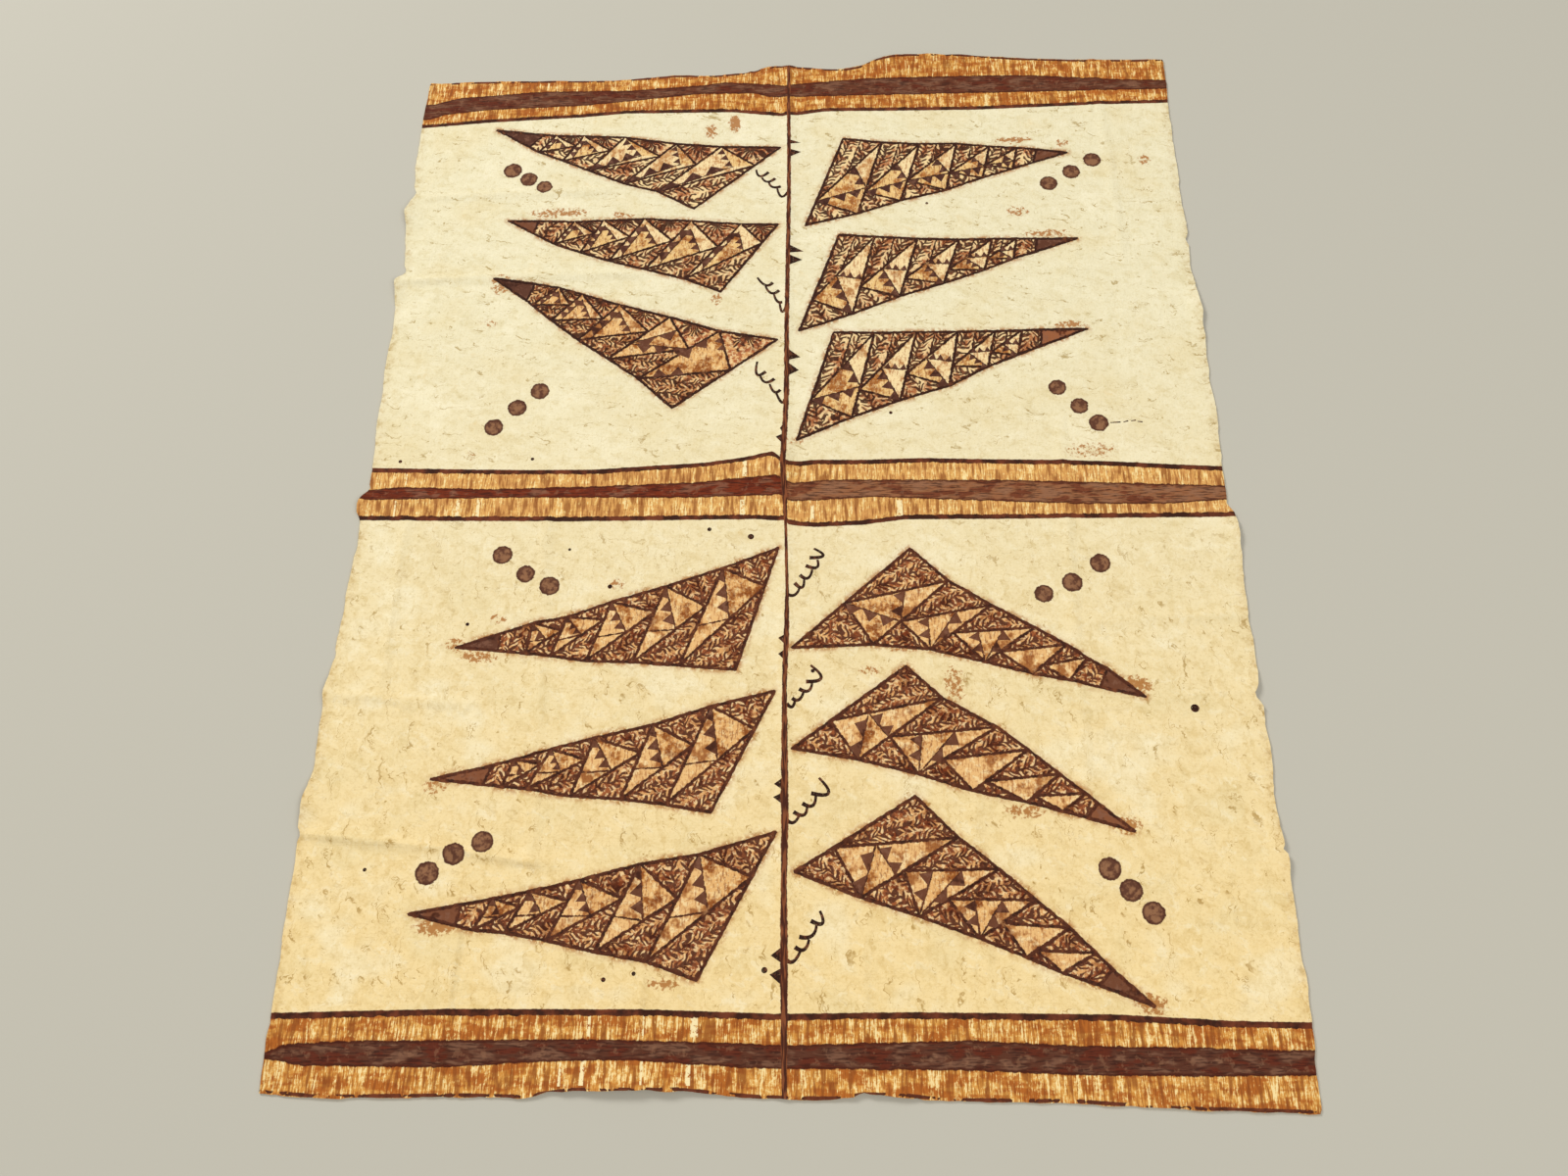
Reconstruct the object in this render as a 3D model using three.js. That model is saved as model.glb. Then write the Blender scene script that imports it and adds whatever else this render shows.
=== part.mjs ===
// Painted bark cloth, opened out flat.
// One felted sheet with a torn, wavy outline, low ridges where it was folded away, a pucker where the
// fold lines cross in the middle, and edges that lift a little off the floor.
// Millimetres, +Z up. X runs across the cloth, Y along it, and its underside lies on z = 0.

import * as THREE from 'three';

// Driving dimensions
const SHEET_THICKNESS = 1.2;
const FOLD_HALF_WIDTH = 13;
const FOLD_FADE = 70;
const FOLD_FLATTEST = 0.7;
const WIDEST_CELL = 46;

// Places below are measured from the point where the centre fold crosses the middle of the cloth.
const NEAR_END = -790;
const FAR_END = 820;
const HALF_WIDTH = 610;

// Torn left edge, from the near corner to the far one
const LEFT_EDGE = [
  { y: -790, x: -604 }, { y: -666, x: -607 }, { y: -543, x: -610 }, { y: -516, x: -609 },
  { y: -485, x: -613 }, { y: -440, x: -614 }, { y: -399, x: -606 }, { y: -339, x: -609 },
  { y: -295, x: -611 }, { y: -255, x: -606 }, { y: -208, x: -605 }, { y: -139, x: -603 },
  { y: -65, x: -600 }, { y: -37, x: -602 }, { y: -24, x: -609 }, { y: -4, x: -608 },
  { y: 12, x: -597 }, { y: 78, x: -598 }, { y: 138, x: -603 }, { y: 179, x: -601 },
  { y: 216, x: -604 }, { y: 300, x: -603 }, { y: 357, x: -608 }, { y: 382, x: -611 },
  { y: 401, x: -600 }, { y: 449, x: -604 }, { y: 515, x: -614 }, { y: 562, x: -606 },
  { y: 616, x: -611 }, { y: 708, x: -612 }, { y: 798, x: -610 },
];

// Torn right edge, from the near corner to the far one
const RIGHT_EDGE = [
  { y: -800, x: 608 }, { y: -716, x: 611 }, { y: -664, x: 614 }, { y: -585, x: 613 },
  { y: -502, x: 615 }, { y: -470, x: 610 }, { y: -434, x: 610 }, { y: -388, x: 614 },
  { y: -317, x: 614 }, { y: -301, x: 610 }, { y: -267, x: 615 }, { y: -190, x: 613 },
  { y: -100, x: 616 }, { y: -62, x: 619 }, { y: -36, x: 616 }, { y: -21, x: 608 },
  { y: 77, x: 611 }, { y: 139, x: 614 }, { y: 183, x: 611 }, { y: 303, x: 615 },
  { y: 358, x: 612 }, { y: 391, x: 608 }, { y: 430, x: 612 }, { y: 585, x: 611 },
  { y: 680, x: 613 }, { y: 818, x: 616 },
];

// Near edge, from left to right
const NEAR_EDGE = [
  { x: -604, y: -789 }, { x: -531, y: -794 }, { x: -366, y: -791 }, { x: -300, y: -792 },
  { x: -238, y: -784 }, { x: -115, y: -783 }, { x: -23, y: -790 }, { x: 58, y: -791 },
  { x: 96, y: -786 }, { x: 143, y: -787 }, { x: 199, y: -791 }, { x: 335, y: -791 },
  { x: 447, y: -797 }, { x: 608, y: -800 },
];

// Far edge, from left to right: the cloth bulges out right of the centre fold
const FAR_EDGE = [
  { x: -610, y: 798 }, { x: -480, y: 799 }, { x: -292, y: 796 }, { x: -196, y: 804 },
  { x: -125, y: 803 }, { x: -79, y: 808 }, { x: -30, y: 816 }, { x: 45, y: 814 },
  { x: 85, y: 810 }, { x: 115, y: 815 }, { x: 140, y: 828 }, { x: 171, y: 834 },
  { x: 281, y: 833 }, { x: 350, y: 829 }, { x: 486, y: 820 }, { x: 616, y: 817 },
];

// Folds that run along the cloth. near, middle and far are where the line lies across the width, and
// the ridge stands up from one place along the cloth to another.
const LENGTHWISE_FOLDS = [
  { name: 'left outer', near: -540, middle: -534, far: -528, from: -330, to: 10, height: 2.2 },
  { name: 'left inner', near: -398, middle: -386, far: -380, from: -800, to: -540, height: 3.0 },
  { name: 'left long', near: -298, middle: -338, far: -344, from: -620, to: 20, height: 2.4 },
  { name: 'left short', near: -170, middle: -158, far: -150, from: -800, to: -600, height: 2.0 },
  { name: 'centre', near: 5, middle: -4, far: -5, from: -900, to: 900, height: 3.0 },
  { name: 'right short', near: 98, middle: 104, far: 108, from: -800, to: -570, height: 2.8 },
  { name: 'right inner', near: 246, middle: 232, far: 236, from: -800, to: -400, height: 2.2 },
  { name: 'right long', near: 372, middle: 388, far: 402, from: -480, to: 160, height: 2.4 },
  { name: 'right outer', near: 536, middle: 520, far: 500, from: 380, to: 900, height: 2.0 },
];

// Folds that run across the cloth. left, middle and right are where the line lies along the length.
const CROSSWISE_FOLDS = [
  { name: 'left crease', left: -483, middle: -556, right: -560, from: -640, to: -250, height: 4.5 },
  { name: 'low bend', left: -298, middle: -345, right: -299, from: -640, to: -380, height: 3.4 },
  { name: 'right bend', left: -190, middle: -215, right: -190, from: 360, to: 640, height: 2.4 },
  { name: 'middle seam', left: -4, middle: -6, right: -30, from: -640, to: 640, height: 1.4 },
  { name: 'upper bend', left: 382, middle: 394, right: 386, from: -640, to: -190, height: 3.6 },
  { name: 'upper roll', left: 548, middle: 562, right: 556, from: -640, to: -260, height: 3.0 },
];

// Places where the cloth stands off the floor: along its edges, and at the pucker in the middle
const LIFTS = [
  { name: 'near edge, left', x: -175, y: -800, across: 150, along: 60, height: 9 },
  { name: 'near edge, right', x: 115, y: -800, across: 70, along: 45, height: 5 },
  { name: 'far edge, bulge', x: 215, y: 850, across: 190, along: 75, height: 9 },
  { name: 'far edge, centre', x: -15, y: 830, across: 75, along: 60, height: 7 },
  { name: 'left edge, low', x: -628, y: -452, across: 50, along: 55, height: 7 },
  { name: 'left edge, bend', x: -628, y: -290, across: 50, along: 40, height: 5 },
  { name: 'left edge, middle', x: -622, y: -14, across: 40, along: 34, height: 5 },
  { name: 'left edge, upper', x: -628, y: 372, across: 50, along: 40, height: 7 },
  { name: 'left edge, far', x: -632, y: 515, across: 60, along: 58, height: 9 },
  { name: 'right edge, low', x: 632, y: -505, across: 50, along: 60, height: 6 },
  { name: 'right edge, bend', x: 632, y: -296, across: 60, along: 40, height: 6 },
  { name: 'right edge, middle', x: 634, y: -66, across: 45, along: 50, height: 6 },
  { name: 'right edge, upper', x: 632, y: 310, across: 45, along: 90, height: 6 },
  { name: 'centre pucker', x: -20, y: 46, across: 46, along: 58, height: 10 },
  { name: 'pucker tail', x: -75, y: 34, across: 90, along: 30, height: 4 },
];

function mix(first, second, share) {
  return first + (second - first) * share;
}

function smooth(share) {
  const held = THREE.MathUtils.clamp(share, 0, 1);
  return held * held * (3 - 2 * held);
}

// Reads a table as a line: its value at a place, held level beyond both ends.
function along(table, from, to) {
  return (place) => {
    const next = table.findIndex((row) => row[from] > place);
    if (next === 0) return table[0][to];
    if (next < 0) return table[table.length - 1][to];
    const [before, after] = [table[next - 1], table[next]];
    return mix(before[to], after[to], (place - before[from]) / (after[from] - before[from]));
  };
}

function lengthwiseLine(fold) {
  const points = [{ y: NEAR_END, x: fold.near }, { y: 0, x: fold.middle }, { y: FAR_END, x: fold.far }];
  return along(points, 'y', 'x');
}

function crosswiseLine(fold) {
  const left = { x: -HALF_WIDTH, y: fold.left };
  const right = { x: HALF_WIDTH, y: fold.right };
  return along([left, { x: 0, y: fold.middle }, right], 'x', 'y');
}

// Grid lines over one direction: both edges, the crest and two shoulders of every fold, and even steps
// in between.
function gridLines(firstEdge, foldLines, lastEdge) {
  const main = [firstEdge];
  foldLines.forEach((line) => {
    main.push((place) => line(place) - FOLD_HALF_WIDTH);
    main.push(line);
    main.push((place) => line(place) + FOLD_HALF_WIDTH);
  });
  main.push(lastEdge);
  const lines = [firstEdge];
  for (let index = 1; index < main.length; index += 1) {
    const before = main[index - 1];
    const after = main[index];
    const steps = Math.ceil((after(0) - before(0)) / WIDEST_CELL);
    for (let step = 1; step <= steps; step += 1) {
      lines.push((place) => mix(before(place), after(place), step / steps));
    }
  }
  return lines;
}

// Where a lengthwise and a crosswise grid line meet
function crossing(column, row) {
  const point = { x: column(0), y: row(0) };
  for (let pass = 0; pass < 8; pass += 1) {
    point.x = column(point.y);
    point.y = row(point.x);
  }
  return point;
}

// A fold is a soft ridge that swells and sinks along its length and fades out at both ends.
function foldHeight(fold, offset, place) {
  const profile = smooth(1 - Math.abs(offset) / FOLD_HALF_WIDTH);
  const ends = smooth((place - fold.from) / FOLD_FADE) * smooth((fold.to - place) / FOLD_FADE);
  const swell = mix(1, FOLD_FLATTEST, 0.5 + 0.5 * Math.sin(place / 31 + fold.middle));
  return fold.height * profile * ends * swell;
}

function liftHeight(lift, x, y) {
  const reach = Math.hypot((x - lift.x) / lift.across, (y - lift.y) / lift.along);
  return lift.height * smooth(1 - reach);
}

const lengthwise = LENGTHWISE_FOLDS.map((fold) => ({ fold, line: lengthwiseLine(fold) }));
const crosswise = CROSSWISE_FOLDS.map((fold) => ({ fold, line: crosswiseLine(fold) }));

// Height of the underside over the floor
function underside(x, y) {
  let height = 0;
  lengthwise.forEach(({ fold, line }) => {
    height += foldHeight(fold, x - line(y), y);
  });
  crosswise.forEach(({ fold, line }) => {
    height += foldHeight(fold, y - line(x), x);
  });
  LIFTS.forEach((lift) => {
    height += liftHeight(lift, x, y);
  });
  return height;
}

// The sheet's points, row by row, centred on its own outline
function sheetPoints(columns, rows) {
  const points = rows.flatMap((row) => columns.map((column) => crossing(column, row)));
  const outline = new THREE.Box2().setFromPoints(points.map(({ x, y }) => new THREE.Vector2(x, y)));
  const centre = outline.getCenter(new THREE.Vector2());
  return points.map(({ x, y }) => new THREE.Vector3(x - centre.x, y - centre.y, underside(x, y)));
}

// Closed sheet: the same grid above and below, joined all round by a narrow rim
function sheetGeometry() {
  const lengthwiseLines = lengthwise.map(({ line }) => line);
  const crosswiseLines = crosswise.map(({ line }) => line);
  const columns = gridLines(along(LEFT_EDGE, 'y', 'x'), lengthwiseLines, along(RIGHT_EDGE, 'y', 'x'));
  const rows = gridLines(along(NEAR_EDGE, 'x', 'y'), crosswiseLines, along(FAR_EDGE, 'x', 'y'));
  const lower = sheetPoints(columns, rows);
  const upper = lower.map((point) => point.clone().setZ(point.z + SHEET_THICKNESS));
  const width = columns.length;
  const lift = lower.length;
  const triangles = [];
  const quad = (a, b, c, d) => triangles.push(a, b, c, a, c, d);
  for (let row = 0; row < rows.length - 1; row += 1) {
    for (let column = 0; column < width - 1; column += 1) {
      const near = row * width + column;
      const far = near + width;
      quad(near + lift, near + 1 + lift, far + 1 + lift, far + lift);
      quad(near, far, far + 1, near + 1);
    }
  }
  const rim = (from, to) => quad(from, to, to + lift, from + lift);
  const last = (rows.length - 1) * width;
  for (let column = 0; column < width - 1; column += 1) {
    rim(column, column + 1);
    rim(last + column + 1, last + column);
  }
  for (let row = 0; row < rows.length - 1; row += 1) {
    rim((row + 1) * width, row * width);
    rim((row + 1) * width - 1, (row + 2) * width - 1);
  }
  const geometry = new THREE.BufferGeometry().setFromPoints([...lower, ...upper]);
  geometry.setIndex(triangles);
  geometry.computeVertexNormals();
  return geometry;
}

function barkCloth() {
  const material = new THREE.MeshStandardMaterial({ color: '#efe3b4', roughness: 0.9, metalness: 0 });
  const cloth = new THREE.Mesh(sheetGeometry(), material);
  cloth.name = 'tapa_cloth';
  return cloth;
}

const model = new THREE.Group();
model.add(barkCloth());

export default model;
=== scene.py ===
"""Painted bark cloth, opened out flat: one felted sheet with torn edges, low folds and fine creases.

Places and sizes are in millimetres, measured from the point where the centre fold crosses the middle
of the cloth. X runs across the cloth and Y along it, away from the camera.
"""

import math
from collections import namedtuple

import bpy
import numpy as np
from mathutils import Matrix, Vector
from mathutils.geometry import delaunay_2d_cdt


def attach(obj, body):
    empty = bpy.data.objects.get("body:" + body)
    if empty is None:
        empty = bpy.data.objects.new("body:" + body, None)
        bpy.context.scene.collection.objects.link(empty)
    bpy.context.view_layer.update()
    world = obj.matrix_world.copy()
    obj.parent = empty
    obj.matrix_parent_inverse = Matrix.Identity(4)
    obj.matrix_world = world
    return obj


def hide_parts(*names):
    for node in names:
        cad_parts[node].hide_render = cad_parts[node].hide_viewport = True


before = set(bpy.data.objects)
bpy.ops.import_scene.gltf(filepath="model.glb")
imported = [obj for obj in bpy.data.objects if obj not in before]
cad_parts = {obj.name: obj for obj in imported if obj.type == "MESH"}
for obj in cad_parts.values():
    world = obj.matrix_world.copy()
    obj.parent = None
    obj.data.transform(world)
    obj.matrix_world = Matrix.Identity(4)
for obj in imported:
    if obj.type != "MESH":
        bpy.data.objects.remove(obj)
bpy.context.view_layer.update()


def table(columns, rows):
    """The rows of a table, with its columns named."""
    Row = namedtuple("Row", columns)
    return [Row(*row) for row in rows]


# Sheet
MM = 0.001
SHEET_THICKNESS = 1.2
FOLD_HALF_WIDTH = 13
FOLD_FADE = 70
FOLD_FLATTEST = 0.7
CREASE_HALF_WIDTH = 5
CREASE_FADE = 22

# Random fields reach this far to each side of the middle.
GRAIN_REACH = 2000

# Mesh
FACE_STEP = 7.0
BACK_STEP = 14.0
EDGE_STEP = 6.0
EDGE_MARGIN = 5.0
SCATTERED_ALONG = (-820, 850)
SCATTERED_ACROSS = (-640, 640)
ROW_STEP = 0.87
GUIDED_ALONG = (-800, 830)
GUIDED_ACROSS = (-615, 615)

# Map of the sheet: its near left corner and its size, and what share of the width each side takes
MAP_CORNER = (-640, -820)
MAP_SIZE = (1280, 1680)
MAP_FACE = 0.755
MAP_BACK = (0.77, 0.22)
MAP_RIM = 1.012

# Painted lines, as half widths
OUTLINE = 2.6
DIVIDER = 2.3
BRANCH = 2.0
INNER = 1.2
UNDRAWN = 50.0

# Small dark steps. STEP_WEAR is the share of a wedge's wear that shows on them.
STEP_LENGTH = 11
STEP_TALLEST = 15
STEP_PROPORTION = 0.78
STEP_WEAR = 0.4

# Leaf strokes: from stem to stem and from leaf to leaf, and the angle from ray to ray in a fan
STEM_STEP = 25.0
LEAF_STEP = 10.0
RAY_STEP = 0.36

# Distances from bands, wedges and edges are stored up to this one. No wedge reaches out further than
# WEDGE_REACH from halfway along it.
MEASURED = 60.0
WEDGE_REACH = 420

# Kinds of painted cell, as the shader reads them
FERN, FAN, LIGHT, OCHRE, DARK, DISC, INK, BARE = range(1, 9)

NEAR_END = -790
FAR_END = 820
HALF_WIDTH = 610

# Torn edges. Columns of the first two: y, x. Columns of the last two: x, y.
LEFT_EDGE = [
    (-790, -604), (-666, -607), (-543, -610), (-516, -609), (-485, -613), (-440, -614), (-399, -606),
    (-339, -609), (-295, -611), (-255, -606), (-208, -605), (-139, -603), (-65, -600), (-37, -602),
    (-24, -609), (-4, -608), (12, -597), (78, -598), (138, -603), (179, -601), (216, -604),
    (300, -603), (357, -608), (382, -611), (401, -600), (449, -604), (515, -614), (562, -606),
    (616, -611), (708, -612), (798, -610),
]
RIGHT_EDGE = [
    (-800, 608), (-716, 611), (-664, 614), (-585, 613), (-502, 615), (-470, 610), (-434, 610),
    (-388, 614), (-317, 614), (-301, 610), (-267, 615), (-190, 613), (-100, 616), (-62, 619),
    (-36, 616), (-21, 608), (77, 611), (139, 614), (183, 611), (303, 615), (358, 612), (391, 608),
    (430, 612), (585, 611), (680, 613), (818, 616),
]
NEAR_EDGE = [
    (-604, -789), (-531, -794), (-366, -791), (-300, -792), (-238, -784), (-115, -783), (-23, -790),
    (58, -791), (96, -786), (143, -787), (199, -791), (335, -791), (447, -797), (608, -800),
]
FAR_EDGE = [
    (-610, 798), (-480, 799), (-292, 796), (-196, 804), (-125, 803), (-79, 808), (-30, 816),
    (45, 814), (85, 810), (115, 815), (140, 828), (171, 834), (281, 833), (350, 829), (486, 820),
    (616, 817),
]

# Small tears and nicks: where, which way the edge is pulled in, and over what reach
TEARS = table("x y dx dy reach", [
    (612, 440, -5, 0, 12), (614, -502, -5, 0, 9), (612, -303, -5, 0, 14), (-612, -486, 4, 0, 10),
    (-600, 12, 3, 0, 10), (-604, 401, 4, 0, 14), (-606, 556, 4, 0, 16), (-604, -242, 3, 0, 12),
    (96, -788, 0, 3, 12), (-266, -790, 0, 3, 16), (-60, 812, 0, -3, 10),
])

# Folds of the whole sheet. first, middle and last are where the line lies, from one end to the other.
# Along the cloth, from left to right
LENGTHWISE_FOLDS = table("first middle last start end height", [
    (-540, -534, -528, -330, 10, 2.2), (-398, -386, -380, -800, -540, 3.0),
    (-298, -338, -344, -620, 20, 2.4), (-170, -158, -150, -800, -600, 2.0), (5, -4, -5, -900, 900, 3.0),
    (98, 104, 108, -800, -570, 2.8), (246, 232, 236, -800, -400, 2.2), (372, 388, 402, -480, 160, 2.4),
    (536, 520, 500, 380, 900, 2.0),
])
# Across the cloth, from near to far
CROSSWISE_FOLDS = table("first middle last start end height", [
    (-483, -556, -560, -640, -250, 4.5), (-298, -345, -299, -640, -380, 3.4),
    (-190, -215, -190, 360, 640, 2.4), (-4, -6, -30, -640, 640, 1.4), (382, 394, 386, -640, -190, 3.6),
    (548, 562, 556, -640, -260, 3.0),
])

# Places where the cloth stands off the floor: along its edges, and at the pucker in the middle
LIFTS = table("x y across along height", [
    (-175, -800, 150, 60, 9), (115, -800, 70, 45, 5), (215, 850, 190, 75, 9), (-15, 830, 75, 60, 7),
    (-628, -452, 50, 55, 7), (-628, -290, 50, 40, 5), (-622, -14, 40, 34, 5), (-628, 372, 50, 40, 7),
    (-632, 515, 60, 58, 9), (632, -505, 50, 60, 6), (632, -296, 60, 40, 6), (634, -66, 45, 50, 6),
    (632, 310, 45, 90, 6), (-20, 46, 46, 58, 10), (-75, 34, 90, 30, 4),
])

# Sharp creases on the face. A height below nothing is a trough, and the seed is for its unevenness.
CREASES = table("seed height points", [
    (10, 1.0, [(-538, -50), (-535, -150), (-537, -240)]),
    (16, 0.9, [(-340, -60), (-336, -240), (-335, -400)]),
    (16, 1.0, [(-335, -400), (-322, -480), (-312, -545)]),
    (10, 1.8, [(-390, -590), (-394, -690), (-392, -789)]),
    (10, 1.2, [(-163, -640), (-166, -720), (-165, -785)]),
    (11, 1.7, [(96, -615), (100, -700), (97, -786)]), (10, 0.7, [(60, -640), (62, -690)]),
    (11, 1.1, [(240, -440), (232, -560), (228, -680), (238, -789)]),
    (12, -0.6, [(308, -430), (312, -500), (306, -560)]), (17, 0.8, [(386, -50), (390, -150)]),
    (17, 0.8, [(384, -330), (392, -400)]), (13, 0.7, [(265, -88), (267, -112)]),
    (11, 0.7, [(541, -500), (538, -620), (540, -700)]), (14, 0.8, [(130, 58), (132, 112)]),
    (21, 0.8, [(504, 60), (506, 112)]), (9, 0.9, [(488, 688), (487, 742)]),
    (21, 0.7, [(-344, 128), (-346, 182)]), (17, 0.7, [(398, 350), (424, 392), (450, 440)]),
    (11, 2.0, [(-614, -486), (-515, -494), (-420, -503), (-300, -525)]),
    (8, 1.0, [(-600, -298), (-540, -303), (-450, -330)]),
    (14, 1.1, [(612, -296), (540, -300), (440, -316), (350, -325)]),
    (16, -0.6, [(440, -555), (520, -558)]), (13, 0.8, [(-330, -668), (-265, -666), (-200, -668)]),
    (14, 0.8, [(60, -608), (110, -615)]), (10, 0.9, [(400, -188), (500, -191), (600, -190)]),
    (10, 1.0, [(-480, 555), (-380, 561), (-280, 560)]),
    (10, 1.0, [(-600, 380), (-470, 390), (-330, 395), (-250, 388)]),
    (9, -0.7, [(-598, 226), (-575, 222), (-545, 215)]),
    (15, 0.7, [(-400, 205), (-300, 199), (-200, 200)]), (18, 0.7, [(110, 695), (145, 694), (180, 690)]),
    (13, 0.9, [(-440, -335), (-420, -320), (-400, -300)]),
    (15, 0.8, [(-100, -40), (-62, -66), (-30, -90)]),
    (11, 0.9, [(-497, -458), (-484, -480), (-470, -500)]),
])

# Painted bands. Each row of a line: x, y. A line that steps at the centre fold has a point on each side.
Band = namedtuple("Band", "cream_line stripe_low stripe_high")
FAR_BAND = Band(
    [(-611, 701), (-497, 711), (-347, 718), (-272, 725), (-98, 723), (-14, 712), (17, 715), (54, 721),
     (300, 718), (496, 724), (607, 725)],
    [(-600, 716), (-574, 727), (-500, 735), (-349, 740), (-269, 749), (-148, 762), (-58, 760),
     (-34, 751), (153, 751), (610, 752)],
    [(-600, 750), (-557, 763), (-427, 773), (-265, 773), (-149, 781), (-110, 787), (-34, 780),
     (-9, 775), (17, 781), (129, 789), (329, 790), (402, 788), (525, 777), (610, 772)],
)
MIDDLE_BAND_FAR = Band(
    [(-597, 44), (-489, 41), (-371, 38), (-277, 38), (-184, 44), (-115, 48), (-69, 55), (-20, 61),
     (-6, 47), (2, 46), (37, 51), (107, 50), (198, 52), (289, 49), (380, 47), (471, 43), (561, 37),
     (610, 34)],
    [(-603, -5), (-366, -4), (-135, -6), (-5, -3), (3, -13), (59, -11), (128, -7), (196, -11),
     (286, -15), (398, -21), (520, -22), (608, -16)],
    [(-599, 11), (-550, 16), (-414, 11), (-252, 15), (-114, 20), (-60, 25), (-13, 26), (3, 17),
     (59, 22), (152, 21), (311, 19), (378, 16), (468, 13), (608, 7)],
)
MIDDLE_NEAR_LINE = [
    (-598, -34), (-317, -38), (-43, -37), (-2, -40), (3, -46), (37, -50), (105, -47), (164, -39),
    (373, -39), (613, -39),
]
NEAR_BAND = Band(
    [(-604, -704), (-500, -701), (-387, -698), (-159, -697), (-2, -701), (155, -698), (394, -699),
     (522, -705), (607, -706)],
    [(-600, -752), (-560, -759), (-401, -760), (-268, -752), (-179, -750), (-24, -758), (218, -758),
     (345, -762), (485, -762), (610, -760)],
    [(-604, -744), (-586, -736), (-519, -731), (-226, -727), (-46, -730), (6, -732), (220, -725),
     (348, -730), (476, -731), (610, -733)],
)

# Centre line. Columns: y, x, half width.
CENTRE_LINE = [
    (-786, 5, 2.2), (-700, 4, 3.4), (-613, 3, 3.8), (-543, 2, 3.0), (-445, 2, 4.0), (-287, 0, 2.6),
    (-204, 2, 3.0), (-146, 2, 1.8), (-48, -1, 1.7), (2, -3, 3.2), (45, -6, 3.4), (104, -4, 3.2),
    (171, -2, 3.2), (294, -3, 2.8), (541, -2, 2.6), (643, -3, 2.4), (714, -4, 2.4), (817, -5, 2.0),
]

# How the triangle between two ferns is divided. One cut runs across below a corner, and a slanting one
# parts the rest. corners: the cut corner first, of 0 top, 1 pivot, 2 low. shares: how far down the two
# sides the cut lies. tones: of the three pieces. across and slant: dark steps on each cut, which point
# away from the corner, or towards it where the number is below nothing.
Split = namedtuple("Split", "corners shares tones across slant")
SPLITS = {
    "slanted": Split((0, 1, 2), (0.42, 0.64), (LIGHT, OCHRE, OCHRE), 2, 3),
    "hung": Split((0, 2, 1), (0.56, 0.62), (LIGHT, LIGHT, OCHRE), -3, 3),
    "spine": Split((2, 0, 1), (0.40, 0.58), (LIGHT, LIGHT, OCHRE), 0, -3),
    "keel": Split((0, 2, 1), (0.64, 0.66), (LIGHT, OCHRE, LIGHT), -2, 2),
}

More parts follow.
